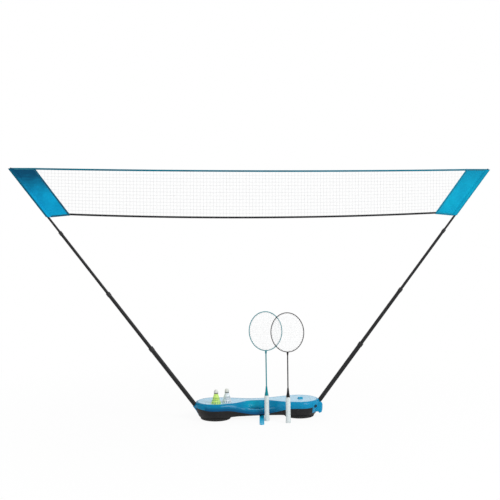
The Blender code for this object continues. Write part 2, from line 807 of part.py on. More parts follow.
def pole_x(z):
    """The pole's own line: its x at a height."""
    return POLE_X + (z - POLE_Z) * math.tan(POLE_LEAN)


def panel_corners():
    """(x, z) corners of the right panel's cloth, inner edge first, each already clear of the hem."""
    inner_top = (pole_x(NET_TOP + 0.004) - PANEL_TOP_WIDTH, NET_TOP)
    inner_bottom = (pole_x(PANEL_OUTER_BOTTOM) - PANEL_BOTTOM_WIDTH, NET_BOTTOM)
    outer_bottom = (pole_x(PANEL_OUTER_BOTTOM), PANEL_OUTER_BOTTOM)
    outer_top = (pole_x(NET_TOP + 0.004), NET_TOP + 0.004)
    return inner_top, inner_bottom, outer_bottom, outer_top


def offset_line(a, b, distance):
    """The line through a and b moved sideways; positive is to the right of the way from a to b."""
    run = (Vector(b) - Vector(a)).normalized()
    side = Vector((run.y, -run.x)) * distance
    return Vector(a) + side, Vector(b) + side


def crossing(first, second):
    (a, b), (c, d) = first, second
    u, v = b - a, d - c
    scale = u.x * v.y - u.y * v.x
    t = ((c.x - a.x) * v.y - (c.y - a.y) * v.x) / scale
    return a + u * t


def sleeve_span():
    """Where the cloth sleeve starts and ends along the pole, measured like the tube steps."""
    low = (PANEL_OUTER_BOTTOM - POLE_Z) / math.cos(POLE_LEAN)
    return low, POLE_STEPS[3] - CAP_LENGTH - 0.0005


def make_panel(side, finish):
    """A cloth side panel with a sleeve that slips over the top tube."""
    word = "left" if side < 0 else "right"
    inner_top, inner_bottom, outer_bottom, outer_top = panel_corners()
    inner = offset_line(inner_top, inner_bottom, -(HEM_WIDTH + GAP))
    bottom = offset_line(inner_bottom, outer_bottom, -(HEM_WIDTH + GAP))
    top = offset_line(outer_top, inner_top, 0.0)
    outer = offset_line(outer_bottom, outer_top, 0.0)
    corners = [crossing(top, inner), crossing(inner, bottom), crossing(bottom, outer), crossing(outer, top)]
    low, high = sleeve_span()
    end = high - SLEEVE_MARGIN
    corners[3] = Vector((POLE_X + end * math.sin(POLE_LEAN), POLE_Z + end * math.cos(POLE_LEAN)))
    cloth = prism(f"{word}_panel", [(side * p.x, p.y) for p in corners], finish, FABRIC / 2)
    bore = TUBE_RADII[3] + SLEEVE_GAP
    sleeve = cylinder_tool(f"{word}_sleeve", bore + SLEEVE_WALL, low - SLEEVE_MARGIN, high, 16)
    hollow = cylinder_tool(f"{word}_sleeve_bore", bore, low - 0.1, high + 0.1, 16)
    for tool in (sleeve, hollow):
        tool.matrix_world = pole_frame(side)
    boolean(cloth, sleeve, "UNION")
    return boolean(cloth, hollow)


def make_hem(side, finish):
    """Dark piping along the panel's inner edge and bottom edge."""
    word = "left" if side < 0 else "right"
    inner_top, inner_bottom, outer_bottom, outer_top = panel_corners()
    outer_in = offset_line(inner_top, inner_bottom, 0.0)
    inner_in = offset_line(inner_top, inner_bottom, -HEM_WIDTH)
    outer_low = offset_line(inner_bottom, outer_bottom, 0.0)
    inner_low = offset_line(inner_bottom, outer_bottom, -HEM_WIDTH)
    clear = TUBE_RADII[3] + GAP + CAP_WALL + SLIDING_GAP
    end = offset_line(outer_bottom, (pole_x(1.4), 1.4), -clear)
    top = offset_line(outer_top, inner_top, 0.0)
    outline = [
        crossing(top, outer_in),
        crossing(outer_in, outer_low),
        crossing(outer_low, end),
        crossing(inner_low, end),
        crossing(inner_in, inner_low),
        crossing(top, inner_in),
    ]
    return prism(f"{word}_hem", [(side * p.x, p.y) for p in outline], finish, HEM_THICKNESS / 2)


def net_edge_x(z):
    """Inner edge of the right panel at a height, clear of its piping."""
    inner_top, inner_bottom, _, _ = panel_corners()
    share = (z - inner_bottom[1]) / (inner_top[1] - inner_bottom[1])
    return inner_bottom[0] + share * (inner_top[0] - inner_bottom[0]) - GAP * 1.3


def make_tape(name, low, high, finish):
    """A tape between the panels. low and high give its edges' heights at each x."""
    points, faces = [], []
    half = TAPE_THICKNESS / 2
    for k in range(TAPE_STEPS + 1):
        share = -1 + 2 * k / TAPE_STEPS
        below, above = low(share), high(share)
        points += [(below[0], -half, below[1]), (below[0], half, below[1])]
        points += [(above[0], half, above[1]), (above[0], -half, above[1])]
    for k in range(TAPE_STEPS):
        for i in range(4):
            j = (i + 1) % 4
            faces.append([4 * k + i, 4 * k + j, 4 * k + 4 + j, 4 * k + 4 + i])
    faces += [[0, 1, 2, 3], [4 * TAPE_STEPS + i for i in (3, 2, 1, 0)]]
    return new_object(name, points, faces, finish)


def tape_line(height, depth):
    """A function from -1..1 along the net to (x, z) on a line that hangs by depth in its middle."""
    half = net_edge_x(height)

    def at(share):
        return share * half, height - depth * (1 - share * share)

    return at


def make_net(top_finish, bottom_finish, mesh_finish):
    top_low = tape_line(NET_TOP - TAPE_HEIGHT, NET_TOP_SAG)
    top_high = tape_line(NET_TOP, NET_TOP_SAG)
    bottom_low = tape_line(NET_BOTTOM, NET_BOTTOM_SAG)
    bottom_high = tape_line(NET_BOTTOM + TAPE_HEIGHT, NET_BOTTOM_SAG)
    make_tape("top_tape", top_low, top_high, top_finish)
    make_tape("bottom_tape", bottom_low, bottom_high, bottom_finish)
    upper = tape_line(NET_TOP - TAPE_HEIGHT - GAP, NET_TOP_SAG)
    lower = tape_line(NET_BOTTOM + TAPE_HEIGHT + GAP, NET_BOTTOM_SAG)

    def at(across, up):
        low, high = lower(across), upper(across)
        return low[0] + (high[0] - low[0]) * up, low[1] + (high[1] - low[1]) * up

    span, rise = 2 * net_edge_x(NET_TOP), NET_TOP - NET_BOTTOM
    lattice("net_mesh", at, NET_COLUMNS, NET_ROWS, STRAND_WIDTH / span, STRAND_WIDTH / rise, mesh_finish)


def lattice(name, at, columns, rows, thin_across, thin_up, finish):
    """A flat net with square gaps: a grid of narrow and wide cells, whose wide cells are left open."""

    def stops(count, thin):
        edges = []
        for k in range(count + 1):
            middle = thin / 2 + (1 - thin) * k / count
            edges += [middle - thin / 2, middle + thin / 2]
        return edges

    across = [-1 + 2 * t for t in stops(columns, thin_across)]
    up = stops(rows, thin_up)
    wide, tall = len(across), len(up)
    half = STRAND_THICKNESS / 2
    points = []
    for y in (-half, half):
        points += [(at(u, v)[0], y, at(u, v)[1]) for v in up for u in across]
    layer = wide * tall

    def filled(i, j):
        inside = 0 <= i < wide - 1 and 0 <= j < tall - 1
        return inside and not (i % 2 == 1 and j % 2 == 1)

    faces = []
    for j in range(tall - 1):
        for i in range(wide - 1):
            if not filled(i, j):
                continue
            a = j * wide + i
            square = [a, a + 1, a + wide + 1, a + wide]
            faces += [square, [layer + k for k in reversed(square)]]
            sides = ((i, j - 1, 0, 1), (i + 1, j, 1, 2), (i, j + 1, 2, 3), (i - 1, j, 3, 0))
            for near, level, p, q in sides:
                if not filled(near, level):
                    faces.append([square[q], square[p], layer + square[p], layer + square[q]])
    return new_object(name, points, faces, finish)


def rim_section(turn):
    """Centre and outward direction of the racket's head at an angle, in its own x and z."""
    across, along = HEAD_HALF_WIDTH - RIM_RADIAL, HEAD_HALF_LENGTH - RIM_RADIAL
    centre = RACKET_LENGTH - HEAD_HALF_LENGTH
    place = Vector((across * math.sin(turn), centre - along * math.cos(turn)))
    out = Vector((along * math.sin(turn), -across * math.cos(turn))).normalized()
    return place, out


def make_racket_frame(name, finish, parent):
    """An oval tube, with a throat piece below that the shaft is pressed into."""
    points, faces = [], []
    section = 6
    for k in range(RIM_STEPS):
        place, out = rim_section(2 * math.pi * k / RIM_STEPS)
        for i in range(section):
            turn = 2 * math.pi * i / section
            x, z = place + out * (RIM_RADIAL * math.cos(turn))
            points.append((x, RIM_DEPTH * math.sin(turn), z))
    for k in range(RIM_STEPS):
        j = (k + 1) % RIM_STEPS
        for i in range(section):
            h = (i + 1) % section
            faces.append([k * section + i, j * section + i, j * section + h, k * section + h])
    frame = new_object(name, points, faces, finish, parent)
    base = RACKET_LENGTH - 2 * HEAD_HALF_LENGTH
    low, high = base - THROAT_LENGTH, base + RIM_RADIAL * 1.4
    throat = lathe(
        name + "_throat",
        [(0, low), (THROAT_RADIUS - 0.001, low), (THROAT_RADIUS, low + 0.004), (THROAT_RADIUS, high), (0, high)],
        None,
        12,
        parent,
    )
    bore = lathe(
        name + "_bore",
        [(0, low - 0.01), (SHAFT_RADIUS + GAP, low - 0.01), (SHAFT_RADIUS + GAP, base - 0.003), (0, base - 0.003)],
        None,
        12,
        parent,
    )
    boolean(frame, throat, "UNION")
    return boolean(frame, bore)


def make_strings(name, finish, parent):
    """String bed: a flat net cut to the inside of the head."""
    centre = RACKET_LENGTH - HEAD_HALF_LENGTH
    columns = 2 * math.ceil(HEAD_HALF_WIDTH / STRING_SPACING)
    rows = 2 * math.ceil(HEAD_HALF_LENGTH / STRING_SPACING)
    width, height = columns * STRING_SPACING, rows * STRING_SPACING

    def at(across, up):
        return across * width / 2, centre - height / 2 + up * height

    bed = lattice(name, at, columns, rows, STRING_WIDTH / width, STRING_WIDTH / height, finish)
    bed.parent = parent
    outline = []
    for k in range(RIM_STEPS):
        place, out = rim_section(2 * math.pi * k / RIM_STEPS)
        edge = place - out * (RIM_RADIAL + GAP)
        outline.append((edge.x, edge.y))
    limit = prism(name + "_limit", outline, None, 0.01)
    limit.parent = parent
    return boolean(bed, limit, "INTERSECT")


def make_racket(word, butt, sway, frame_finish, grip_finish, string_finish):
    """A racket standing on its butt at (x, y). It tips back, and sway tips it to one side."""
    turn = Matrix.Rotation(-RACKET_LEAN, 4, "X") @ Matrix.Rotation(sway, 4, "Y")
    lift = GRIP_BUTT_RADIUS * math.sin(RACKET_LEAN)
    place = frame_empty(f"{word}_racket_axis", Matrix.Translation((*butt, lift)) @ turn)
    make_racket_frame(f"{word}_racket_frame", frame_finish, place)
    make_strings(f"{word}_racket_strings", string_finish, place)
    shaft_low = GRIP_LENGTH - 0.060
    shaft_high = RACKET_LENGTH - 2 * HEAD_HALF_LENGTH - 0.003 - GAP
    shaft = [(0, shaft_low), (SHAFT_RADIUS, shaft_low), (SHAFT_RADIUS, shaft_high), (0, shaft_high)]
    lathe(f"{word}_racket_shaft", shaft, frame_finish, 12, place)
    bore = SHAFT_RADIUS + GAP
    grip = [
        (0, 0.0),
        (GRIP_BUTT_RADIUS, 0.0),
        (0.0160, 0.002),
        (0.0160, 0.010),
        (0.0142, 0.026),
        (0.0137, 0.080),
        (0.0139, GRIP_LENGTH - 0.002),
        (0.0128, GRIP_LENGTH),
        (bore, GRIP_LENGTH),
        (bore, shaft_low - GAP),
        (0, shaft_low - GAP),
    ]
    lathe(f"{word}_racket_grip", grip, grip_finish, 16, place)
    low, high = GRIP_LENGTH + GAP, GRIP_LENGTH + CONE_LENGTH
    cone = [
        (bore, low),
        (0.0122, low),
        (0.0118, low + 0.006),
        (0.0078, low + 0.026),
        (0.0056, high - 0.006),
        (0.0052, high),
        (bore, high),
    ]
    lathe(f"{word}_racket_cone", cone, frame_finish, 16, place)


def make_shuttle(word, place, skirt_finish, cork_finish):
    """A shuttlecock standing on its skirt, cork up."""
    axis = frame_empty(f"{word}_shuttle_axis", Matrix.Translation(place))
    top = SKIRT_HEIGHT
    skirt = [
        (SKIRT_RADIUS - SKIRT_WALL, 0.0),
        (SKIRT_RADIUS, 0.0),
        (SKIRT_RADIUS * 0.70, top * 0.45),
        (SKIRT_NECK, top),
        (SKIRT_NECK - SKIRT_WALL, top),
        (SKIRT_RADIUS * 0.70 - SKIRT_WALL, top * 0.45),
    ]
    lathe(f"{word}_shuttle_skirt", skirt, skirt_finish, 24, axis)
    low = top + GAP
    rise = CORK_HEIGHT - CORK_RADIUS
    cork = [(0, low), (CORK_RADIUS, low), (CORK_RADIUS, low + rise)]
    cork += [
        (CORK_RADIUS * math.cos(math.radians(a)), low + rise + CORK_RADIUS * math.sin(math.radians(a)))
        for a in (20, 40, 60, 78)
    ]
    cork.append((0, low + rise + CORK_RADIUS))
    lathe(f"{word}_shuttle_cork", cork, cork_finish, 20, axis)


def clear_scene():
    for old in list(bpy.data.objects):
        bpy.data.objects.remove(old, do_unlink=True)


def main():
    clear_scene()
    shell_blue = material("Gloss blue plastic", (0.0, 0.17, 0.50), 0.22)
    cyan = material("Cyan plastic", (0.0, 0.42, 0.70), 0.30)
    dark = material("Dark grey plastic", (0.032, 0.032, 0.035), 0.50)
    rubber = material("Black rubber", (0.015, 0.015, 0.016), 0.80)
    tube_metal = material("Charcoal painted metal", (0.020, 0.020, 0.022), 0.42, 0.6)
    steel = material("Bright steel", (0.55, 0.55, 0.56), 0.30, 1.0)
    cloth = material("Blue woven cloth", (0.0, 0.30, 0.62), 0.85)
    piping = material("Dark blue piping", (0.0, 0.10, 0.16), 0.80)
    mesh_white = material("Pale grey net cord", (0.72, 0.73, 0.75), 0.75)
    tape_black = material("Black tape", (0.012, 0.012, 0.013), 0.80)
    racket_blue = material("Blue racket enamel", (0.0, 0.25, 0.50), 0.25, 0.3)
    racket_black = material("Black racket enamel", (0.012, 0.012, 0.013), 0.25, 0.3)
    grip_white = material("White grip", (0.72, 0.73, 0.72), 0.65)
    string_white = material("White string", (0.80, 0.81, 0.82), 0.40)
    yellow = material("Yellow nylon", (0.58, 0.80, 0.08), 0.45)
    white = material("White nylon", (0.78, 0.80, 0.83), 0.45)
    cork = material("Pale cork", (0.76, 0.76, 0.70), 0.60)

    make_lower_shell(dark)
    make_upper_shell(shell_blue)
    for side in (-1, 1):
        make_foot_pad(side, rubber)
        make_hinge_pin(side, steel)
        make_lock_post(side, dark)
        make_lid_knob(side, shell_blue)
        make_socket(side, shell_blue)
        make_button(side, dark)
        make_pole(side, tube_metal, dark)
        make_panel(side, cloth)
        make_hem(side, piping)
    for word, side in (("front", -1), ("rear", 1)):
        make_leg(f"{word}_leg", side, cyan)
        make_leg_pin(f"{word}_leg_pin", side, steel)
    make_net(cloth, tape_black, mesh_white)
    make_racket("blue", (0.0392, -0.132), math.radians(1.0), racket_blue, grip_white, string_white)
    make_racket("black", (0.159, -0.200), math.radians(1.64), racket_black, grip_white, string_white)
    seat = CASE_TOP - TOP_PANEL_RECESS + GAP
    make_shuttle("yellow", (-0.266, -0.063, seat), yellow, cork)
    make_shuttle("white", (-0.197, -0.042, seat), white, cork)


main()
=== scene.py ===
# %% [markdown]
# # A portable badminton net set
#
# The real object is a blue and dark grey storage case that stands on two round pads and two
# swing-out legs. Two telescopic poles lean out of its ends and stretch a net between two blue
# cloth panels. Two rackets stand in front and two shuttlecocks on the lid. The hard parts come
# finished from the CAD model, so they only need their surfaces. The soft and wound parts are
# modelled here: the net, the cloth, the tapes, the strings, the grips and the skirts.

# %% Load the frame
import math

import bpy
from mathutils import Matrix, Vector, noise


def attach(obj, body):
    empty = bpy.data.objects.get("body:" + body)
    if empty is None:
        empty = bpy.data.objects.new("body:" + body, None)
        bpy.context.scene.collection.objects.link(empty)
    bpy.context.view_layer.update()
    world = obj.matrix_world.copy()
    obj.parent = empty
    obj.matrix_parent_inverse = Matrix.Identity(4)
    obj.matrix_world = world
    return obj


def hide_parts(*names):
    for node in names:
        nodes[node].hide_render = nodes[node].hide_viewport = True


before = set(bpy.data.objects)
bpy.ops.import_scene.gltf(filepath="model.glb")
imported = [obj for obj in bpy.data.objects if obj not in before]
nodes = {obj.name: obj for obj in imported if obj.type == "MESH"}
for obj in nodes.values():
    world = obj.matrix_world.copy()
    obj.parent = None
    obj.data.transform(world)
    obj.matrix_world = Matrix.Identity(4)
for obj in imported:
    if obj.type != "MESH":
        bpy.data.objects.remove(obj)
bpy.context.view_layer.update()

# %% [markdown]
# ## Camera
#
# The photograph was taken from a little left of the middle, at net height and far away, so the
# poles fan out evenly. The camera looks level, which keeps uprights upright, and the frame is
# shifted down to the object, as a view camera does. A tilted camera would make the poles converge.

# %% Camera
VIEW_TURN = math.radians(8.15)
VIEW_DISTANCE = 6.0
VIEW_HEIGHT = 1.444
FRAME_PIXELS = 500
FOCAL_PIXELS = 963.3
MIDDLE_X, HORIZON_Y = 257.6, 184.65

lens = bpy.data.cameras.new("front_view")
lens.sensor_width = 36.0
lens.lens = FOCAL_PIXELS / FRAME_PIXELS * lens.sensor_width
lens.shift_x = (FRAME_PIXELS / 2 - MIDDLE_X) / FRAME_PIXELS
lens.shift_y = (HORIZON_Y - FRAME_PIXELS / 2) / FRAME_PIXELS
camera = bpy.data.objects.new("front_view", lens)
camera.location = (
    -VIEW_DISTANCE * math.sin(VIEW_TURN),
    -VIEW_DISTANCE * math.cos(VIEW_TURN),
    VIEW_HEIGHT,
)
camera.rotation_euler = (math.pi / 2, 0, -VIEW_TURN)
bpy.context.scene.collection.objects.link(camera)
bpy.context.scene.camera = camera
bpy.context.scene.view_settings.view_transform = "Standard"
print("lens", round(lens.lens, 1), "mm, shift", round(lens.shift_x, 4), round(lens.shift_y, 4))

# %% [markdown]
# ## Shader maths
#
# A finish is easier to read as an expression than as a web of nodes. Value wraps one number
# socket, and its operators add Math nodes, so `0.3 + grain * 0.1` builds the same two nodes that
# a hand would place.


# %% Values
class Value:
    """A number socket that can be added, subtracted and multiplied."""

    def __init__(self, sheet, socket):
        self.sheet, self.socket = sheet, socket

    def maths(self, operation, *others):
        terms = dict(enumerate((self, *others)))
        made = self.sheet.node("ShaderNodeMath", {"operation": operation}, terms)
        return Value(self.sheet, made.outputs[0])

    def __add__(self, other):
        return self.maths("ADD", other)

    def __mul__(self, other):
        return self.maths("MULTIPLY", other)

    def __sub__(self, other):
        return self.maths("SUBTRACT", other)

    def __rsub__(self, other):
        return self.maths("MULTIPLY", -1.0).maths("ADD", other)

    __radd__, __rmul__ = __add__, __mul__

    def between(self, low, high):
        """0 below low, 1 above high, and smooth between them."""
        made = self.sheet.node(
            "ShaderNodeMapRange",
            {"interpolation_type": "SMOOTHSTEP", "clamp": True},
            {"Value": self, "From Min": low, "From Max": high},
        )
        return Value(self.sheet, made.outputs["Result"])


print("Value is ready")

# %% [markdown]
# Sheet is the node sheet of one material. It adds every other node from its type, its settings and
# its inputs, and feeds the material's one main shader.


# %% Sheets
class Sheet:
    """The node sheet of one material."""

    def __init__(self, name):
        self.material = bpy.data.materials.new(name)
        self.material.use_nodes = True
        self.tree = self.material.node_tree
        self.shader = self.tree.nodes["Principled BSDF"]

    def node(self, kind, settings=None, inputs=None):
        made = self.tree.nodes.new(kind)
        for key, value in (settings or {}).items():
            setattr(made, key, value)
        for key, value in (inputs or {}).items():
            self.feed(made.inputs[key], value)
        return made

    def feed(self, socket, value):
        """Links a value or a socket to this socket, or sets the socket to a plain number."""
        if isinstance(value, Value):
            value = value.socket
        if isinstance(value, bpy.types.NodeSocket):
            self.tree.links.new(value, socket)
        else:
            socket.default_value = value

    def set(self, **inputs):
        """Feeds the main shader, as in set(Roughness=0.4)."""
        for key, value in inputs.items():
            self.feed(self.shader.inputs[key.replace("_", " ")], value)


print("Sheet is ready")

# %% [markdown]
# ## Round surfaces
#
# The CAD solids are made of flat facets, down to the last curve, and the real mouldings are
# round. Three live modifiers shade them so without touching a mesh. The first welds the facets'
# shared corners, the second is a small node group that shades every fold under 46 degrees smooth,
# and the third weighs normals by area, which keeps the broad flat faces flat.

# %% Round surfaces
ROUND_UNDER = math.radians(46)
WELD_GAP = 0.00002


def smoothing_group():
    """Shades faces smooth, with edges that fold more than ROUND_UNDER left sharp."""
    group = bpy.data.node_groups.new("Smooth by fold", "GeometryNodeTree")
    for way in ("INPUT", "OUTPUT"):
        group.interface.new_socket("Geometry", in_out=way, socket_type="NodeSocketGeometry")
    kinds = (
        "NodeGroupInput",
        "GeometryNodeSetShadeSmooth",
        "GeometryNodeSetShadeSmooth",
        "NodeGroupOutput",
        "GeometryNodeInputMeshEdgeAngle",
        "FunctionNodeCompare",
    )
    start, faces, edges, end, fold, below = (group.nodes.new(kind) for kind in kinds)
    edges.domain = "EDGE"
    below.operation = "LESS_THAN"
    below.inputs[1].default_value = ROUND_UNDER
    for source, target in (
        (start.outputs[0], faces.inputs[0]),
        (faces.outputs[0], edges.inputs[0]),
        (fold.outputs[0], below.inputs[0]),
        (below.outputs[0], edges.inputs["Shade Smooth"]),
        (edges.outputs[0], end.inputs[0]),
    ):
        group.links.new(source, target)
    return group


smoothing = smoothing_group()
for node in nodes.values():
    weld = node.modifiers.new("weld corners", "WELD")
    weld.merge_threshold = WELD_GAP
    node.modifiers.new("smooth by fold", "NODES").node_group = smoothing
    node.modifiers.new("weigh by area", "WEIGHTED_NORMAL").keep_sharp = True
print(len(nodes), "nodes shaded round")

# %% [markdown]
# ## Helpers for finishes
#
# Most finishes need the same few things: a place on the object, some noise, a mix of two colours
# and a bump. Each gets one short function. Places are in metres, so a noise scale of 400 makes
# grains of a few millimetres on every piece alike.


# %% Places and noise
def place(sheet):
    """x, y and z of the surface point in metres."""
    spot = sheet.node("ShaderNodeTexCoord").outputs["Object"]
    split = sheet.node("ShaderNodeSeparateXYZ", inputs={0: spot})
    return [Value(sheet, split.outputs[i]) for i in range(3)]


def strip_place(sheet):
    """u along and v across a strip or cloth, in metres."""
    spot = sheet.node("ShaderNodeUVMap", {"uv_map": "UVMap"}).outputs[0]
    split = sheet.node("ShaderNodeSeparateXYZ", inputs={0: spot})
    return [Value(sheet, split.outputs[i]) for i in range(2)]


def grain(sheet, scale, detail=2.0, stretch=(1, 1, 1)):
    """Noise from 0 to 1. A stretch over 1 draws its grains out along that axis."""
    spot = sheet.node("ShaderNodeTexCoord").outputs["Object"]
    if stretch != (1, 1, 1):
        squeeze = tuple(1 / s for s in stretch)
        factors = {0: spot, 1: squeeze}
        spot = sheet.node("ShaderNodeVectorMath", {"operation": "MULTIPLY"}, factors).outputs[0]
    settings = {"Vector": spot, "Scale": scale, "Detail": detail}
    made = sheet.node("ShaderNodeTexNoise", inputs=settings)
    return Value(sheet, made.outputs[0])


print("place, strip_place and grain are ready")

# %% [markdown]
# A Mix node has sockets for numbers, vectors and colours, and the colour ones are picked by their
# place in its list. `both` writes out the names of parts that come in pairs, and `coat` gives CAD
# nodes their finish.

# %% Mixes, bumps and coats
MIX_COLOUR_A, MIX_COLOUR_B, MIX_COLOUR_OUT = 6, 7, 2


def opaque(colour):
    """A plain colour with its alpha. The socket of an earlier mix stays as it is."""
    return (*colour, 1.0) if isinstance(colour, tuple) else colour


def mixed(sheet, share, first, second):
    """A colour from first, at a share of 0, to second, at 1."""
    ends = {0: share, MIX_COLOUR_A: opaque(first), MIX_COLOUR_B: opaque(second)}
    return sheet.node("ShaderNodeMix", {"data_type": "RGBA"}, ends).outputs[MIX_COLOUR_OUT]


def bumped(sheet, height, depth):
    """Feeds the shader's normal with relief of this depth in metres."""
    settings = {"Height": height, "Distance": depth, "Strength": 1.0}
    sheet.set(Normal=sheet.node("ShaderNodeBump", inputs=settings).outputs[0])


SIDES = ("left", "right")


def both(*parts):
    """The names of these parts on the left and on the right."""
    return [f"{side}_{part}" for side in SIDES for part in parts]


def coat(names, material):
    """Gives CAD nodes this material."""
    for name in names:
        slots = nodes[name].data.materials
        slots.clear()
        slots.append(material)


print("mixed, bumped, both and coat are ready")

# %% [markdown]
# ## Gloss blue plastic
#
# The lid is injection moulded: deep even blue, a high gloss with faint orange peel, and fine
# rubbing marks that only change the roughness. Light and shade are painted into the blue: painted
# shade in a band over the parting line, painted light towards the right, and a painted turquoise
# highlight at the front of the waist. The recessed panel on top is far paler than the sides, so it
# gets a pale blue of its own, found by its height and by its normal facing up. A second material on
# selected faces would need a changed mesh, so each of these is a mask in the shader.

# %% Masks on the lid
PANEL_HEIGHT = 0.1038
PARTING_AT_WAIST, PARTING_RISE = 0.031, 0.035
WAIST_MIDDLE, WAIST_REACH = -0.035, 0.085
SOCKET_START, SOCKET_END = 0.330, 0.350


def painted_shade_band(along, height):
    """Painted shade: 1 just over the parting line, which rises from the waist to the lobes, and 0
    above it.
    """
    out = along.maths("ABSOLUTE")
    parting = out.between(0.010, 0.228) * PARTING_RISE + PARTING_AT_WAIST
    over_parting = 1 - (height - parting).between(0.004, 0.036)
    on_lid = 1 - out.between(SOCKET_START, SOCKET_END)
    return over_parting * on_lid * (1 - along.between(0.020, 0.200) * 0.85)


def painted_waist_highlight(along, back, height):
    """A painted highlight, 1 high on the front of the waist."""
    near = 1 - (along - WAIST_MIDDLE).maths("ABSOLUTE").between(0.0, WAIST_REACH)
    return near * height.between(0.055, 0.085) * (1 - back.between(-0.02, 0.02))


def recessed_panel(sheet, height):
    """1 where the surface lies at the panel's height and faces up."""
    normal = sheet.node("ShaderNodeTexCoord").outputs["Normal"]
    split = sheet.node("ShaderNodeSeparateXYZ", inputs={0: normal})
    faces_up = Value(sheet, split.outputs[2]).between(0.97, 0.995)
    not_below = height.between(PANEL_HEIGHT - 0.0008, PANEL_HEIGHT - 0.0004)
    not_above = 1 - height.between(PANEL_HEIGHT + 0.0004, PANEL_HEIGHT + 0.0008)
    return faces_up * not_below * not_above


print("masks for the deep band, the waist's front and the recessed panel")

# %% [markdown]
# The finish mixes its blues by these masks, one over the other: painted light to the right, the
# band of painted shade, the painted turquoise highlight, and the pale panel last.

# %% Gloss blue plastic
LID_BLUE = (0.000, 0.230, 0.430)
# The next three blues are painted shade, painted light and a painted highlight.
LID_PAINTED_SHADE = (0.000, 0.070, 0.190)
LID_PAINTED_LIGHT = (0.004, 0.300, 0.545)
WAIST_PAINTED_HIGHLIGHT = (0.000, 0.400, 0.560)
PANEL_PALE = (0.480, 0.745, 0.900)


def gloss_blue(name):
    sheet = Sheet(name)
    along, back, height = place(sheet)
    # Painted light: the blue turns brighter towards the right, where the lamp falls.
    colour = mixed(sheet, along.between(0.040, 0.240) * 0.8, LID_BLUE, LID_PAINTED_LIGHT)
    # The deep share is painted shade over the parting line, with a little random tone.
    deep = painted_shade_band(along, height) * 0.85 + grain(sheet, 7.0) * 0.15
    colour = mixed(sheet, deep, colour, LID_PAINTED_SHADE)
    # A painted turquoise highlight on the front of the waist, where its slope faces up to the
    # light.
    colour = mixed(sheet, painted_waist_highlight(along, back, height) * 0.7, colour, WAIST_PAINTED_HIGHLIGHT)
    pale = mixed(sheet, grain(sheet, 16.0) * 0.35, PANEL_PALE, LID_BLUE)
    colour = mixed(sheet, recessed_panel(sheet, height) * 0.92, colour, pale)
    rubbed = grain(sheet, 38.0, 6.0).between(0.52, 0.80)
    sheet.set(Base_Color=colour, Roughness=0.17 + rubbed * 0.16, Specular_IOR_Level=0.12)
    bumped(sheet, grain(sheet, 420.0), 0.00004)
    return sheet.material


coat(["upper_shell", *both("socket")], gloss_blue("Lid gloss blue"))
print("blue plastic on the lid and 2 sockets")

# %% [markdown]
# ## Cyan legs, dark shell, rubber and small dark parts
#
# The legs are a lighter blue than the lid and a little less glossy. The lower shell has the fine
# spark-eroded texture that hides scratches, which is a small sharp noise in the bump and a
# wider one in the roughness. Rubber is duller and picks up dust near the floor. All are the same
# plastic to the shader, so one function makes them from a few numbers.

# %% Moulded plastics
DUST = (0.110, 0.105, 0.098)


def moulded(name, colour, shade, roughness, grain_scale, relief, dust=0.0):
    """Two tones, a roughness, a grain with its relief in metres, and dust from 0 to 1."""
    sheet = Sheet(name)
    fine = grain(sheet, grain_scale, 3.0)
    worn = grain(sheet, 24.0, 5.0)
    tone = mixed(sheet, worn.between(0.35, 0.75), colour, shade)
    if dust:
        low = 1 - place(sheet)[2].between(0.002, 0.014)
        settled = grain(sheet, 150.0, 5.0).between(0.30, 0.85)
        tone = mixed(sheet, low * settled * dust, tone, DUST)
    rough = roughness + (fine - 0.5) * 0.14 + worn * 0.06
    sheet.set(Base_Color=tone, Roughness=rough, Specular_IOR_Level=0.20)
    bumped(sheet, fine, relief)
    return sheet.material


print("moulded is ready")

# %% [markdown]
# Each plastic has its two tones here, from the photograph. The lock knobs match the legs, the
# bowl's lock posts match the bowl, and the poles' plugs, caps and collars are all one black.

# %% Plastics and rubber on their parts
CYAN = (0.000, 0.400, 0.640), (0.000, 0.330, 0.560)
DARK_GREY = (0.009, 0.009, 0.010), (0.016, 0.015, 0.016)
TRIM_BLACK = (0.018, 0.018, 0.019), (0.028, 0.028, 0.030)
BUTTON_BLUE = (0.000, 0.022, 0.042), (0.002, 0.030, 0.052)
RUBBER_BLACK = (0.014, 0.014, 0.015), (0.024, 0.024, 0.024)
SMALL_PARTS = ("base_plug", "tip_cap", "collar_1", "collar_2", "collar_3")

cyan = moulded("Leg cyan", *CYAN, 0.26, 300.0, 0.00005)
dark = moulded("Bowl dark grey", *DARK_GREY, 0.50, 1300.0, 0.00012)
trim = moulded("Trim black", *TRIM_BLACK, 0.38, 900.0, 0.00006)
button_blue = moulded("Button dark blue", *BUTTON_BLUE, 0.42, 900.0, 0.00006)
rubber = moulded("Pad rubber", *RUBBER_BLACK, 0.74, 700.0, 0.00015, dust=0.55)
coat(["front_leg", "rear_leg", *both("lid_knob")], cyan)
coat(["lower_shell", *both("lock_post")], dark)
coat(both("foot_pad"), rubber)
coat(both(*SMALL_PARTS), trim)
coat(both("release_button"), button_blue)
print("cyan on 2 legs and 2 knobs, dark on the bowl, trim on", len(both(*SMALL_PARTS)), "parts")

# %% [markdown]
# ## Painted tubes and steel pins
#
# The tubes are steel with a charcoal powder coat: a fine pebbled skin, and paler scuffs where the
# next section has slid over it. A scuff is a streak, and noise makes one when it is stretched.
# The stretch is along Z, the straight axis nearest to the leaning poles. The pins are bare steel,
# with fine rings from turning.

# %% Painted tubes and steel pins
PAINT, PAINT_SCUFFED = (0.008, 0.008, 0.009), (0.050, 0.050, 0.053)
STEEL, STEEL_BRIGHT = (0.50, 0.50, 0.51), (0.62, 0.62, 0.63)


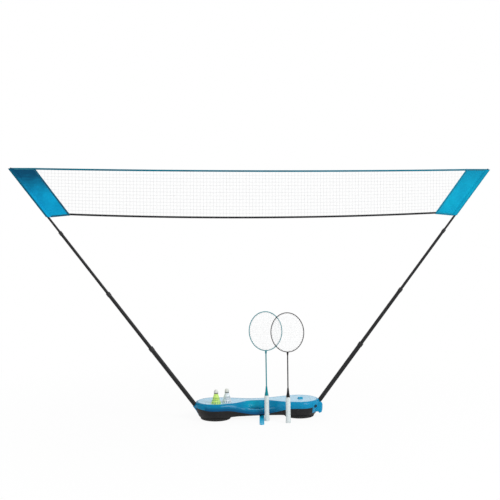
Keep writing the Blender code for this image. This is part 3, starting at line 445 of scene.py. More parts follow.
def painted_tube():
    sheet = Sheet("Tube charcoal paint")
    pebble = grain(sheet, 1500.0, 2.0)
    streak = grain(sheet, 260.0, 3.0, stretch=(1, 1, 14)).between(0.60, 0.78)
    patch = grain(sheet, 9.0, 2.0).between(0.45, 0.70)
    scuff = streak * patch
    tone = mixed(sheet, scuff * 0.35, PAINT, PAINT_SCUFFED)
    rough = 0.44 + pebble * 0.08 - scuff * 0.10
    sheet.set(Base_Color=tone, Roughness=rough, Specular_IOR_Level=0.25)
    bumped(sheet, pebble, 0.00006)
    return sheet.material


def drawn_steel():
    sheet = Sheet("Pin bright steel")
    turned = grain(sheet, 900.0, 2.0, stretch=(8, 1, 1))
    tone = mixed(sheet, turned, STEEL, STEEL_BRIGHT)
    sheet.set(Base_Color=tone, Roughness=0.22 + turned * 0.16, Metallic=1.0)
    bumped(sheet, turned, 0.00002)
    return sheet.material


coat(both("pole_1", "pole_2", "pole_3", "pole_4"), painted_tube())
coat(["front_leg_pin", "rear_leg_pin", *both("hinge_pin")], drawn_steel())
print("paint on 8 tubes, steel on 4 pins")

# %% [markdown]
# ## Tools for new pieces
#
# Each new piece starts as a primitive or a grid, is shaped, and ends with its place in its mesh.
# `fresh` clears the selection first, because an operator acts on all that is selected and the
# loaded model is. The others pick a piece, open it in edit mode and close it again.


# %% Selecting and editing
def fresh():
    if bpy.context.object and bpy.context.object.mode != "OBJECT":
        bpy.ops.object.mode_set(mode="OBJECT")
    bpy.ops.object.select_all(action="DESELECT")


def pick(*pieces):
    """Selects these pieces alone and makes the first one active."""
    fresh()
    for piece in pieces:
        piece.select_set(True)
    bpy.context.view_layer.objects.active = pieces[0]


def edit(action="DESELECT", by="FACE"):
    """Opens the active piece in edit mode with all or none of it selected."""
    bpy.ops.object.mode_set(mode="EDIT")
    bpy.ops.mesh.select_mode(type=by)
    bpy.ops.mesh.select_all(action=action)


def done():
    """Leaves edit mode."""
    bpy.ops.object.mode_set(mode="OBJECT")


def edit_faces(piece, wanted):
    """Opens edit mode with only those faces selected for which wanted(face) is true."""
    edit()
    done()
    for face in piece.data.polygons:
        face.select = wanted(face)
    bpy.ops.object.mode_set(mode="EDIT")


print("fresh, pick, edit, done and edit_faces are ready")

# %% [markdown]
# `apply_all` makes a piece's modifiers part of its mesh. `settle` applies what is left of the
# object's own place, rides the piece on its body and hides the plain solid that it stands in for.


# %% Applying and settling
def apply_place():
    bpy.ops.object.transform_apply(location=True, rotation=True, scale=True)


def apply_all(piece):
    pick(piece)
    for modifier in list(piece.modifiers):
        bpy.ops.object.modifier_apply(modifier=modifier.name)


def settle(piece, name, body, material, *replaced):
    pick(piece)
    apply_place()
    piece.name = piece.data.name = name
    piece.data.materials.clear()
    piece.data.materials.append(material)
    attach(piece, body)
    if replaced:
        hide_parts(*replaced)
    print(name, len(piece.data.polygons), "faces on", body)
    return piece


print("apply_place, apply_all and settle are ready")

# %% [markdown]
# Cloth and tape start as a flat grid. `grid` moves its points to their places and keeps a UV map
# in metres, so that a weave has the same threads on every piece. `thicken` gives a sheet its
# thickness. `cut_rings` divides the upright edges of a cylinder or cone, which gives it the rings
# that a grip or a skirt is shaped from.

# %% Grid, thickness and rings
SOFT_FOLD = math.radians(40)
UPRIGHT_RISE = 0.01


def grid(columns, rows, at, size):
    """A grid whose points go where at(u, v) says, with u and v from 0 to 1."""
    fresh()
    bpy.ops.mesh.primitive_grid_add(x_subdivisions=columns, y_subdivisions=rows, size=2)
    piece = bpy.context.object
    for vertex in piece.data.vertices:
        vertex.co = at((vertex.co.x + 1) / 2, (vertex.co.y + 1) / 2)
    for corner in piece.data.uv_layers[0].data:
        corner.uv = (corner.uv.x * size[0], corner.uv.y * size[1])
    piece.data.uv_layers[0].name = "UVMap"
    return piece


def thicken(piece, thickness, offset=0.0):
    wall = piece.modifiers.new("wall", "SOLIDIFY")
    wall.thickness, wall.offset = thickness, offset
    wall.use_even_offset = True
    apply_all(piece)
    bpy.ops.object.shade_smooth_by_angle(angle=SOFT_FOLD)


def cut_rings(piece, cuts):
    edit(by="EDGE")
    done()
    points = piece.data.vertices
    for edge in piece.data.edges:
        first, second = (points[i].co for i in edge.vertices)
        edge.select = abs(first.z - second.z) > UPRIGHT_RISE
    bpy.ops.object.mode_set(mode="EDIT")
    bpy.ops.mesh.subdivide(number_cuts=cuts)
    bpy.ops.mesh.select_all(action="DESELECT")
    done()


print("grid, thicken and cut_rings are ready")

# %% [markdown]
# ## Lines of the net
#
# The net, its tapes and the panels share a few lines: the pole's axis, the sagging top and
# bottom edges, and the slanted edge between net and cloth. The pole's axis is the CAD model's. The
# edges follow the photograph and lie within 4 mm of the CAD model's, so every soft piece fills
# the place of the plain solid it stands for.

# %% Lines of the net
POLE_LEAN = math.radians(37.4)
POLE_FOOT_X, POLE_FOOT_Z = 0.374, 0.065
NET_TOP, NET_TOP_SAG = 1.5450, 0.0110
NET_BOTTOM, NET_BOTTOM_SAG = 1.2590, 0.0245
TAPE_HEIGHT = 0.011
PANEL_TOP_WIDTH, PANEL_BOTTOM_WIDTH = 0.144, 0.130
PANEL_FOOT = 1.248
PANEL_TIP = 1.545


def pole_x(z):
    return POLE_FOOT_X + (z - POLE_FOOT_Z) * math.tan(POLE_LEAN)


inner_top = Vector((pole_x(PANEL_TIP) - PANEL_TOP_WIDTH, 0, NET_TOP))
inner_bottom = Vector((pole_x(PANEL_FOOT) - PANEL_BOTTOM_WIDTH, 0, NET_BOTTOM))
outer_bottom = Vector((pole_x(PANEL_FOOT), 0, PANEL_FOOT))
outer_top = Vector((pole_x(PANEL_TIP), 0, PANEL_TIP))


def edge_x(z):
    """Where the net meets the right panel at a height."""
    share = (z - inner_bottom.z) / (inner_top.z - inner_bottom.z)
    return inner_bottom.x + share * (inner_top.x - inner_bottom.x)


print("the net is", round(2 * edge_x(NET_TOP), 3), "m wide at its top")

# %% [markdown]
# ## Netting
#
# Badminton net is knotted cord on a square mesh of about 20 mm. Drawn as a grid of single edges,
# it becomes cord when a Wireframe modifier gives every edge its own square tube. Modelling the
# cords one by one would give the same look with far more steps. The cord itself is pale and
# twisted, and a little greyer in places.

# %% Net cord
CORD_PALE, CORD_GREY = (0.60, 0.61, 0.63), (0.40, 0.42, 0.45)


def net_cord():
    sheet = Sheet("Net pale cord")
    twist = grain(sheet, 1800.0, 1.0)
    shade = grain(sheet, 5.0, 2.0)
    tone = mixed(sheet, shade * 0.6, CORD_PALE, CORD_GREY)
    sheet.set(Base_Color=tone, Roughness=0.72 + twist * 0.12)
    bumped(sheet, twist, 0.00008)
    return sheet.material


pale_cord = net_cord()
print(pale_cord.name, "is ready")

# %% [markdown]
# The grid is made as wide as the net's top and then cut along both slanted edges, so that its
# uprights stay upright. Its first and last rows lie just inside the tapes, and it sways a few
# millimetres out of its plane.

# %% Netting
MESH_PITCH = 0.0205
CORD = 0.0012
TUCKED_IN = 0.001
SWAY = 0.0035

net_columns = round(2 * inner_top.x / MESH_PITCH)
net_rows = round((NET_TOP - NET_BOTTOM - 2 * TAPE_HEIGHT) / MESH_PITCH)


def net_point(u, v):
    x = (2 * u - 1) * inner_top.x
    top_sag = NET_TOP_SAG * (1 - (x / inner_top.x) ** 2)
    bottom_sag = NET_BOTTOM_SAG * (1 - (x / inner_bottom.x) ** 2)
    high = NET_TOP - TAPE_HEIGHT + TUCKED_IN - top_sag
    low = NET_BOTTOM + TAPE_HEIGHT - TUCKED_IN - bottom_sag
    z = low + (high - low) * v
    sway = SWAY * noise.noise(Vector((x * 2.2, 0.0, z * 3.0))) * math.sin(math.pi * v)
    return Vector((x, sway, z))


netting = grid(net_columns, net_rows, net_point, (2 * inner_top.x, NET_TOP - NET_BOTTOM))
pick(netting)
slant = (inner_top - inner_bottom).normalized()
for side in (-1, 1):
    out = Vector((side * slant.z, 0, -slant.x))
    corner = inner_top * Vector((side, 1, 1))
    edit("SELECT")
    bpy.ops.mesh.bisect(plane_co=corner, plane_no=out, clear_outer=True)
    done()
cords = netting.modifiers.new("cords", "WIREFRAME")
cords.thickness = CORD
cords.use_even_offset = False
apply_all(netting)
settle(netting, "netting", "net", pale_cord, "net_mesh")
print(net_columns, "x", net_rows, "meshes of", round(MESH_PITCH * 1000, 1), "mm")

# %% [markdown]
# ## Cloth of the panels and tapes
#
# Close up, the cloth is a plain weave: every thread goes over one and under the next. The product
# of two sines, one along each thread direction, has just that checkered rise and fall. It feeds
# the bump and a little of the colour, with a soft noise for the uneven dye. Rows of stitching,
# a band of painted shade and a fade to a darker tone are masks on the same two coordinates.

# %% Woven cloth
THREAD = 0.0008
STITCH_PITCH = 0.004
STITCH_GREY = (0.32, 0.34, 0.36)
SHADE_BAND_BLUR = 0.0004


def woven(name, colour, shade, roughness, relief, shade_band=None, fade=None, stitches=()):
    """Cloth of two tones, with its places along and across in metres.

    A shade band is (colour, start, end): that colour painted as shade from start to end along.
    A fade is (colour, start, end, most): the cloth turns to it from start to end across.
    Stitches are the places across of its rows of stitching.
    """
    sheet = Sheet(name)
    along, across = strip_place(sheet)
    turns = math.pi / THREAD
    weave = (along * turns).maths("SINE") * (across * turns).maths("SINE") * 0.5 + 0.5
    uneven = grain(sheet, 14.0, 4.0)
    tone = mixed(sheet, uneven.between(0.35, 0.70) * 0.7 + weave * 0.3, colour, shade)
    if fade:
        ink, start, end, most = fade
        brushed = grain(sheet, 70.0, 4.0, (4, 4, 1)) * 0.10 - 0.05
        tone = mixed(sheet, (across + brushed).between(start, end) * most, tone, ink)
    # This band is painted shade, darker where the sleeve rounds away from the light.
    if shade_band:
        edge, start, end = shade_band
        begun = along.between(start - SHADE_BAND_BLUR, start + SHADE_BAND_BLUR)
        ended = along.between(end - SHADE_BAND_BLUR, end + SHADE_BAND_BLUR)
        tone = mixed(sheet, begun * (1 - ended), tone, edge)
    height = weave
    if stitches:
        dash = (along * (2 * math.pi / STITCH_PITCH)).maths("SINE").between(-0.5, -0.2)
        for row in stitches:
            thread = dash * (1 - (across - row).maths("ABSOLUTE").between(0.0002, 0.0004))
            tone = mixed(sheet, thread * 0.6, tone, STITCH_GREY)
            height = height + thread * 2.0
    sheet.set(Base_Color=tone, Roughness=roughness + weave * 0.08, Specular_IOR_Level=0.12)
    bumped(sheet, height, relief)
    return sheet.material


print("woven is ready")

# %% [markdown]
# The left panel fades to a dark blue towards its top and the right one to a deeper blue, as the
# photograph shows. On each, the sleeve's outer half has the hem's darker tone as painted shade,
# where the sleeve rounds away from the light at the pole's outer edge. The sleeve is the last part
# of the panel's width, so that band is found from the panel's own measures.

# %% Cloth colours
PANEL_FLAT = (PANEL_TOP_WIDTH + PANEL_BOTTOM_WIDTH) / 2 * math.cos(POLE_LEAN)
SLEEVE_RADIUS = 0.0101
SLEEVE_ROUND = 2 * math.pi * SLEEVE_RADIUS
FLAT_SHARE = 0.62
# The turns round the sleeve that get painted shade.
PAINTED_SHADE_TURNS = (0.24, 0.76)
TAPE_STITCHES = (0.0015, 0.0216)
HEM_STITCHES = (0.0014, 0.0206)
panel_tones = {
    "left": ((0.000, 0.365, 0.645), (0.000, 0.285, 0.540)),
    "right": ((0.000, 0.345, 0.530), (0.000, 0.270, 0.450)),
}
panel_fades = {
    "left": ((0.000, 0.045, 0.110), 0.130, 0.350, 0.92),
    "right": ((0.000, 0.215, 0.360), 0.150, 0.370, 0.80),
}
hem_tones = {
    "left": ((0.000, 0.120, 0.205), (0.000, 0.065, 0.120)),
    "right": ((0.000, 0.220, 0.340), (0.000, 0.150, 0.245)),
}
TAPE_TEAL = (0.002, 0.165, 0.240), (0.002, 0.120, 0.180)
TAPE_BLACK = (0.016, 0.016, 0.018), (0.028, 0.028, 0.030)

cloth_wide = PANEL_FLAT + SLEEVE_ROUND
sleeve_painted_shade = [cloth_wide * (FLAT_SHARE + (1 - FLAT_SHARE) * turn) for turn in PAINTED_SHADE_TURNS]
panel_cloth = {}
hem_cloth = {}
for word in SIDES:
    # The sleeve's outer half gets the hem's darker tone as painted shade.
    shade_band = (hem_tones[word][0], *sleeve_painted_shade)
    title = word.capitalize()
    panel_cloth[word] = woven(
        f"{title} panel cloth", *panel_tones[word], 0.72, 0.00018, shade_band, panel_fades[word]
    )
    hem_cloth[word] = woven(
        f"{title} hem blue", *hem_tones[word], 0.70, 0.00020, stitches=HEM_STITCHES
    )
tape_cloth = woven("Top tape teal", *TAPE_TEAL, 0.68, 0.00020, stitches=TAPE_STITCHES)
black_cloth = woven("Bottom tape black", *TAPE_BLACK, 0.74, 0.00020, stitches=TAPE_STITCHES)
print("six woven cloths, the panels", round(cloth_wide, 3), "m wide with their sleeves")

# %% [markdown]
# ## Hems and tapes
#
# Every edge is bound with a narrow tape folded over it. All are one kind of piece: a grid that
# runs along a line and turns round a U-shaped section, with the fold away from the cloth it binds.
# Sewn tape puckers, so once in every five stitches this one widens and narrows a little, most at
# its open edges.

# %% Folded tapes
CLOSING = 0.45
PUCKER = 0.10
PUCKER_STITCHES = 5
SECTION_STEPS = 14
TAPE_THICKNESS = 0.0006


def u_section(share, depth, half_gap):
    """Depth below the fold and distance from the middle plane, as the section is walked round."""
    leg = depth - half_gap
    walk = share * (2 * leg + math.pi * half_gap)
    if walk < leg:
        return depth - walk, half_gap * (1 - CLOSING + CLOSING * walk / leg)
    walk -= leg
    if walk < math.pi * half_gap:
        turn = walk / half_gap
        return half_gap * (1 - math.sin(turn)), half_gap * math.cos(turn)
    walk -= math.pi * half_gap
    return half_gap + walk, -half_gap * (1 - CLOSING * walk / leg)


def folded_tape(name, line, count, depth, half_gap, material, replaced, fold_way):
    """A tape folded over line(share), with fold_way pointing from its open edges to its fold.

    It comes back with its length and its flat width.
    """
    length = sum((line((k + 1) / count) - line(k / count)).length for k in range(count))
    wide = 2 * (depth - half_gap) + math.pi * half_gap

    def at(u, v):
        down, out = u_section(v, depth, half_gap)
        waves = u * length / STITCH_PITCH / PUCKER_STITCHES
        pucker = 1 + PUCKER * math.sin(2 * math.pi * waves) * (down / depth)
        point = line(u) + fold_way * (depth / 2 - down)
        point.y += out * pucker
        return point

    piece = grid(count, SECTION_STEPS, at, (length, wide))
    thicken(piece, TAPE_THICKNESS, offset=1.0)
    settle(piece, name, "net", material, *replaced)
    return piece, length, wide


print("folded_tape is ready")

# %% [markdown]
# Each panel has two hems, one down its slanted inner edge and one along its foot. The CAD model
# has them as one strip, which the first of the two stands in for. The foot's hem ends where the
# sleeve begins, because the sleeve goes round the tube there.

# %% Hems
HEM_DEPTH, HEM_HALF_GAP = 0.0105, 0.0009
HEM_OVER_EDGE = 0.0022
HEM_STEPS = 60
BEFORE_SLEEVE = Vector((0.0125, 0, 0))


def hem_line(start, end, middle):
    """The line of a hem from start to end, and the way from the panel's middle to its fold."""
    away = Vector((0, 1, 0)).cross((end - start).normalized())
    if away.dot(start - middle) < 0:
        away = -away
    inset = away * (HEM_DEPTH / 2 - HEM_OVER_EDGE)
    return lambda share: (start - inset).lerp(end - inset, share), away


hems = {}
for word, side in zip(SIDES, (-1, 1)):
    corners = (inner_top, inner_bottom, outer_bottom - BEFORE_SLEEVE)
    top, low, foot = (corner * Vector((side, 1, 1)) for corner in corners)
    hems[word] = []
    for part, start, end in (("edge", top, low), ("foot", low, foot)):
        line, away = hem_line(start, end, (top + foot) / 2)
        stands_for = (f"{word}_hem",) if part == "edge" else ()
        title = f"{word}_hem_{part}"
        measures = (HEM_STEPS, HEM_DEPTH, HEM_HALF_GAP)
        hem, length, wide = folded_tape(title, line, *measures, hem_cloth[word], stands_for, away)
        hems[word].append(hem)
        print(title, round(length, 3), "m long, cut", round(wide * 1000, 1), "mm wide")

# %% [markdown]
# The top tape also holds the cord that carries the net, so it runs from pole tip to pole tip:
# straight along each panel's top, and hanging a little between them. The bottom tape hangs
# between the two panels. Both are sheets of cloth pulled tight, and each prints the flat size it
# was cut to.

# %% Tapes
TAPE_HALF_GAP = 0.0010
TIP_MARGIN = 0.006


def top_line(share):
    x = (2 * share - 1) * (outer_top.x - TIP_MARGIN)
    reach = min(abs(x) / inner_top.x, 1.0)
    return Vector((x, 0, NET_TOP - TAPE_HEIGHT / 2 - NET_TOP_SAG * (1 - reach * reach)))


def bottom_line(share):
    way = 2 * share - 1
    height = NET_BOTTOM + TAPE_HEIGHT / 2
    return Vector((way * edge_x(height), 0, height - NET_BOTTOM_SAG * (1 - way * way)))


upward = Vector((0, 0, 1))
for name, line, count, cloth, way in (
    ("top_tape", top_line, 220, tape_cloth, upward),
    ("bottom_tape", bottom_line, 180, black_cloth, -upward),
):
    measures = (count, TAPE_HEIGHT, TAPE_HALF_GAP)
    tape, length, wide = folded_tape(f"{name}_cloth", line, *measures, cloth, (name,), way)
    print(name, round(length, 2), "m long, cut", round(wide * 1000, 1), "mm wide")

# %% [markdown]
# ## Side panels
#
# Each panel is one piece of cloth. From its inner edge it runs flat to the pole, wraps once round
# the top tube as a sleeve, and is sewn to itself beside it. So one grid can be the whole panel: its
# columns cross the flat part and then go round the tube.

# %% Measures of the side panels
SEAM_FROM_AXIS = 0.0150
SLEEVE_DROP = 0.004 / math.cos(POLE_LEAN)
CLOTH_THICKNESS = 0.0007
PANEL_COLUMNS, PANEL_ROWS = 76, 60

level_inward = Vector((-1 / math.cos(POLE_LEAN), 0, 0))
pole_along = Vector((math.sin(POLE_LEAN), 0, math.cos(POLE_LEAN)))
sleeve_top = outer_top - pole_along * SLEEVE_DROP
panel_long = (outer_top - outer_bottom).length
print("panels", round(cloth_wide, 3), "x", round(panel_long, 3), "m")

# %% [markdown]
# Shallow folds fill the middle of the cloth and are gone before they reach the hems, or the cloth
# would come through them. The sleeve is gathered a little along the tube, and pinched where it is
# sewn.

# %% Cloth of a side panel
UNDER_TAPE_FOLD = Vector((0, 0, 0.002))
FOLD_DEPTH = 0.0060
HELD_FLAT, LOOSE_FROM_EDGE, LOOSE_FROM_END = 0.014, 0.042, 0.064
GATHER = 0.05


def ramp(value, low, high):
    """0 below low, 1 above high, and even between them."""
    return min(max((value - low) / (high - low), 0), 1)


def flat_point(share, v, seam, side):
    """The flat part of the cloth, from its inner edge at a share of 0 to the sleeve's seam."""
    point = inner_bottom.lerp(inner_top - UNDER_TAPE_FOLD, v).lerp(seam, share)
    from_edge = min(share, 1 - share) * PANEL_FLAT
    from_end = min(v, 1 - v) * panel_long
    loose = ramp(from_edge, HELD_FLAT, LOOSE_FROM_EDGE) * ramp(from_end, HELD_FLAT, LOOSE_FROM_END)
    pull = noise.noise(Vector((point.x * 15 + point.z * 9, side * 3.0, point.z * 4)))
    point.y = -FOLD_DEPTH * loose * (2 - loose) * pull
    return point


def sleeve_point(turn, v, axis, side):
    """The sleeve, from its seam at a turn of 0 once round the tube, pinched to a point there."""
    reach = SLEEVE_RADIUS * (1 + GATHER * noise.noise(Vector((turn * 1.5, v * 18, side))))
    pinch = (SEAM_FROM_AXIS - SLEEVE_RADIUS) * max(0.0, math.cos(turn)) ** 6
    point = axis + level_inward * (reach * math.cos(turn) + pinch)
    point.y = reach * math.sin(turn)
    return point


def panel_point(side):
    def at(u, v):
        axis = outer_bottom.lerp(sleeve_top, v)
        if u <= FLAT_SHARE:
            seam = axis + level_inward * SEAM_FROM_AXIS
            point = flat_point(u / FLAT_SHARE, v, seam, side)
        else:
            turn = (u - FLAT_SHARE) / (1 - FLAT_SHARE) * 2 * math.pi
            point = sleeve_point(turn, v, axis, side)
        point.x *= side
        return point

    return at


print("flat_point, sleeve_point and panel_point are ready")

# %% [markdown]
# Both panels are made as sheets of cloth. Each is held by its top tube, and its hems are sewn to
# it, so they go with it.

# %% Both panels
for word, side in zip(SIDES, (-1, 1)):
    cloth = grid(PANEL_COLUMNS, PANEL_ROWS, panel_point(side), (cloth_wide, panel_long))
    thicken(cloth, CLOTH_THICKNESS)
    settle(cloth, f"{word}_panel_cloth", "net", panel_cloth[word], f"{word}_panel")

# %% [markdown]
# ## Rackets
#
# The head, its strings and their bushes are modelled lying in the racket's own plane, with its
# butt at the origin, and are then stood up and put in place with one matrix. The grip is modelled
# upright and only put in place. Both rackets are alike but for their place and colour, so each
# part is a function that is called twice.

# %% Racket places
RACKET_LENGTH = 0.668
HEAD_HALF_WIDTH, HEAD_HALF_LENGTH = 0.1075, 0.1245
RIM_RADIAL, RIM_DEPTH = 0.0046, 0.0052
RACKET_LEAN = math.radians(13.0)
BUTT_RADIUS = 0.0145
HEAD_MIDDLE = RACKET_LENGTH - HEAD_HALF_LENGTH
rackets = {
    "blue": ((0.0392, -0.132), math.radians(1.0)),
    "black": ((0.159, -0.200), math.radians(1.64)),
}


def racket_place(word):
    (x, y), sway = rackets[word]
    lift = BUTT_RADIUS * math.sin(RACKET_LEAN)
    turn = Matrix.Rotation(-RACKET_LEAN, 4, "X") @ Matrix.Rotation(sway, 4, "Y")
    return Matrix.Translation((x, y, lift)) @ turn


STAND_UP = Matrix.Rotation(math.pi / 2, 4, "X")


def stand_on(piece, word, name, material, *replaced):
    """Stands a part up on its racket and settles it there."""
    piece.matrix_world = racket_place(word) @ STAND_UP
    settle(piece, f"{word}_{name}", f"{word}_racket", material, *replaced)


print("rackets at", {word: rackets[word][0] for word in rackets})

# %% [markdown]
# ## Racket enamel
#
# The metal is painted, with a fine flake under a thin clear coat. The shaft and its cone come from
# the CAD model and wear the same enamel as the head.

# %% Racket enamel
ENAMEL_BLUE = (0.000, 0.245, 0.290), (0.000, 0.185, 0.220)
ENAMEL_BLACK = (0.008, 0.007, 0.008), (0.016, 0.014, 0.016)


def enamel(name, colour, shade):
    sheet = Sheet(name)
    flake = grain(sheet, 2600.0, 1.0)
    clouds = grain(sheet, 22.0, 3.0)
    tone = mixed(sheet, clouds * 0.5 + flake.between(0.55, 0.75) * 0.4, colour, shade)
    sheet.set(Base_Color=tone, Roughness=0.30 + clouds * 0.10, Specular_IOR_Level=0.08)
    sheet.set(Coat_Weight=0.05, Coat_Roughness=0.10)
    bumped(sheet, flake, 0.00002)
    return sheet.material


enamels = {
    "blue": enamel("Racket enamel blue", *ENAMEL_BLUE),
    "black": enamel("Racket enamel black", *ENAMEL_BLACK),
}
for word in rackets:
    coat([f"{word}_racket_shaft", f"{word}_racket_cone"], enamels[word])
print("enamel on 2 shafts and 2 cones")

# %% [markdown]
# ## Racket heads
#
# A racket's head is a bent tube whose outside has a groove for the strings. A Bezier circle scaled
# to an oval gives the bend, and a small drawn outline, set as the curve's bevel object, gives the
# grooved section all the way round.

# %% Racket head
SECTION_POINTS = 20
GROOVE_DEPTH = 0.0013
HEAD_STEPS = 26


def draw_section():
    """An oval outline with a string groove on its outer side."""
    outline = []
    for k in range(SECTION_POINTS):
        turn = 2 * math.pi * k / SECTION_POINTS
        groove = GROOVE_DEPTH * max(0.0, math.cos(turn)) ** 10
        outline.append(((RIM_RADIAL - groove) * math.cos(turn), RIM_DEPTH * math.sin(turn)))
    drawn = bpy.data.curves.new("rim_section", "CURVE")
    drawn.dimensions = "2D"
    spline = drawn.splines.new("POLY")
    spline.points.add(len(outline) - 1)
    for point, (x, y) in zip(spline.points, outline):
        point.co = (x, y, 0, 1)
    spline.use_cyclic_u = True
    section = bpy.data.objects.new("rim_section", drawn)
    bpy.context.scene.collection.objects.link(section)
    return section


def head_tube(section):
    fresh()
    bpy.ops.curve.primitive_bezier_circle_add(radius=1.0, location=(0, 0, 0))
    loop = bpy.context.object
    loop.scale = (HEAD_HALF_WIDTH - RIM_RADIAL, HEAD_HALF_LENGTH - RIM_RADIAL, 1.0)
    bpy.ops.object.transform_apply(location=False, rotation=False, scale=True)
    loop.data.dimensions = "2D"
    loop.data.fill_mode = "NONE"
    loop.data.resolution_u = HEAD_STEPS
    loop.data.bevel_mode = "OBJECT"
    loop.data.bevel_object = section
    bpy.ops.object.convert(target="MESH")
    loop.location = (0, HEAD_MIDDLE, 0)
    return loop


rim_section = draw_section()
print("head", round(2000 * HEAD_HALF_WIDTH), "x", round(2000 * HEAD_HALF_LENGTH), "mm")

# %% [markdown]
# The throat is the short tapered socket between the head and the shaft. It starts as a thin disc,
# whose upper face is extruded three times and widened at each step. Head and throat are joined
# into the one piece that stands in for the CAD frame.

# %% Throat, and the finished frames
THROAT_FOOT = RACKET_LENGTH - 2 * HEAD_HALF_LENGTH - 0.016
THROAT_RADIUS = 0.0046
THROAT_DISC = 0.004
THROAT_STEPS = ((0.004, 1.24), (0.007, 1.02), (0.005, 1.25))


def throat():
    fresh()
    bpy.ops.mesh.primitive_cylinder_add(
        vertices=24,
        radius=THROAT_RADIUS,
        depth=THROAT_DISC,
        rotation=(math.pi / 2, 0, 0),
    )
    piece = bpy.context.object
    piece.location = (0, THROAT_FOOT + THROAT_DISC / 2, 0)
    apply_place()
    edit_faces(piece, lambda face: face.normal.y > 0.9)
    for rise, grow in THROAT_STEPS:
        bpy.ops.mesh.extrude_region_move(TRANSFORM_OT_translate={"value": (0, rise, 0)})
        bpy.ops.transform.resize(value=(grow, 1, grow))
    done()
    return piece


for word in rackets:
    head = head_tube(rim_section)
    pick(head, throat())
    bpy.ops.object.join()
    apply_place()
    edit("SELECT")
    bpy.ops.mesh.remove_doubles(threshold=0.00001)
    bpy.ops.mesh.normals_make_consistent(inside=False)
    done()
    bpy.ops.object.shade_smooth_by_angle(angle=SOFT_FOLD)
    stand_on(head, word, "racket_head", enamels[word], f"{word}_racket_frame")
bpy.data.objects.remove(rim_section)

# %% [markdown]
# ## String beds
#
# 22 main strings and 21 crosses go over and under each other. They are spread over the oval
# opening inside the rim, and each ends where the oval does. The same two measures also place the
# grommets later.

# %% Places of the strings
MAINS, CROSSES = 22, 21
SPREAD = 0.97
INNER_WIDE = HEAD_HALF_WIDTH - 2 * RIM_RADIAL
INNER_TALL = HEAD_HALF_LENGTH - 2 * RIM_RADIAL


def spaced(half, count):
    """The places of this many strings over an opening this far to each side."""
    return [half * (2 * (k + 0.5) / count - 1) * SPREAD for k in range(count)]


def half_chord(place_across, half, other_half):
    """How far an oval opening reaches along a string that crosses it at this place."""
    return other_half * math.sqrt(1 - (place_across / half) ** 2)


print(MAINS, "mains and", CROSSES, "crosses")

# %% [markdown]
# Each string is one spline with a point at every crossing, raised or lowered by turns. Close up it
# is white and finely fibrous.

# %% One string
STRING_RADIUS = 0.00036
LAST_CROSSING = 0.002
STRING_WHITE = (0.90, 0.91, 0.92), (0.80, 0.82, 0.84)


def string_finish():
    sheet = Sheet("String white")
    fibre = grain(sheet, 1400.0, 2.0)
    sheet.set(Base_Color=mixed(sheet, fibre, *STRING_WHITE), Roughness=0.34 + fibre * 0.12)
    bumped(sheet, fibre, 0.00003)
    return sheet.material


def draw_string(drawn, row, spot, crossings, reach, upright):
    """One string with a point at both ends and at each crossing, over and under by turns."""
    stops = [crossing for crossing in crossings if abs(crossing) < reach - LAST_CROSSING]
    spline = drawn.splines.new("POLY")
    spline.points.add(len(stops) + 1)
    for point, along in zip(spline.points, [-reach, *stops, reach]):
        over = 0.0
        if along in stops:
            over = STRING_RADIUS * (-1) ** (row + crossings.index(along) + upright)
        x, y = (spot, along) if upright else (along, spot)
        point.co = (x, y + HEAD_MIDDLE, over, 1)


strings = string_finish()
print("strings", round(2000 * STRING_RADIUS, 2), "mm thick")

# %% [markdown]
# One curve object holds all strings of a racket. A round bevel gives them their thickness, and the
# curve is made a mesh at the end.

# %% String bed
INTO_RIM = 0.0012


def string_bed():
    wide, tall = INNER_WIDE + INTO_RIM, INNER_TALL + INTO_RIM
    mains, crosses = spaced(wide, MAINS), spaced(tall, CROSSES)
    drawn = bpy.data.curves.new("string_bed", "CURVE")
    drawn.dimensions = "3D"
    drawn.bevel_depth = STRING_RADIUS
    drawn.bevel_resolution = 1
    drawn.use_fill_caps = True
    for row, x in enumerate(mains):
        draw_string(drawn, row, x, crosses, half_chord(x, wide, tall), True)
    for row, y in enumerate(crosses):
        draw_string(drawn, row, y, mains, half_chord(y, tall, wide), False)
    bed = bpy.data.objects.new("string_bed", drawn)
    bpy.context.scene.collection.objects.link(bed)
    pick(bed)
    bpy.ops.object.convert(target="MESH")
    bpy.ops.object.shade_smooth()
    return bed


print("string_bed is ready")

# %% [markdown]
# ## Grommets
#
# Each string goes through a small nylon bush in the rim, so that the metal can't cut it. The places
# for the bushes are where the strings meet the rim's inner side.


# %% Ends of the strings
def string_ends():
    """Where each string meets the rim, and which way it goes."""
    ends = []
    for count, half, other_half, upright in (
        (MAINS, INNER_WIDE, INNER_TALL, True),
        (CROSSES, INNER_TALL, INNER_WIDE, False),
    ):
        for spot in spaced(half, count):
            reach = half_chord(spot, half, other_half)
            for sign in (-1, 1):
                x, y = (spot, sign * reach) if upright else (sign * reach, spot)
                way = (0, sign, 0) if upright else (sign, 0, 0)
                ends.append((Vector((x, y + HEAD_MIDDLE, 0)), Vector(way)))
    return ends


print(len(string_ends()), "string ends on each racket")

# %% [markdown]
# One bush is modelled, with its inner end drawn out to a narrower collar, and a copy is turned and
# set at every string end.

# %% Grommets, and both string beds
GROMMET_RADIUS, GROMMET_LENGTH = 0.0011, 0.0026
GROMMET_OUTWARD = 0.0002
COLLAR_INSET, COLLAR_LENGTH = 0.0003, 0.0007
NYLON_BLACK = (0.015, 0.015, 0.016), (0.030, 0.030, 0.032)


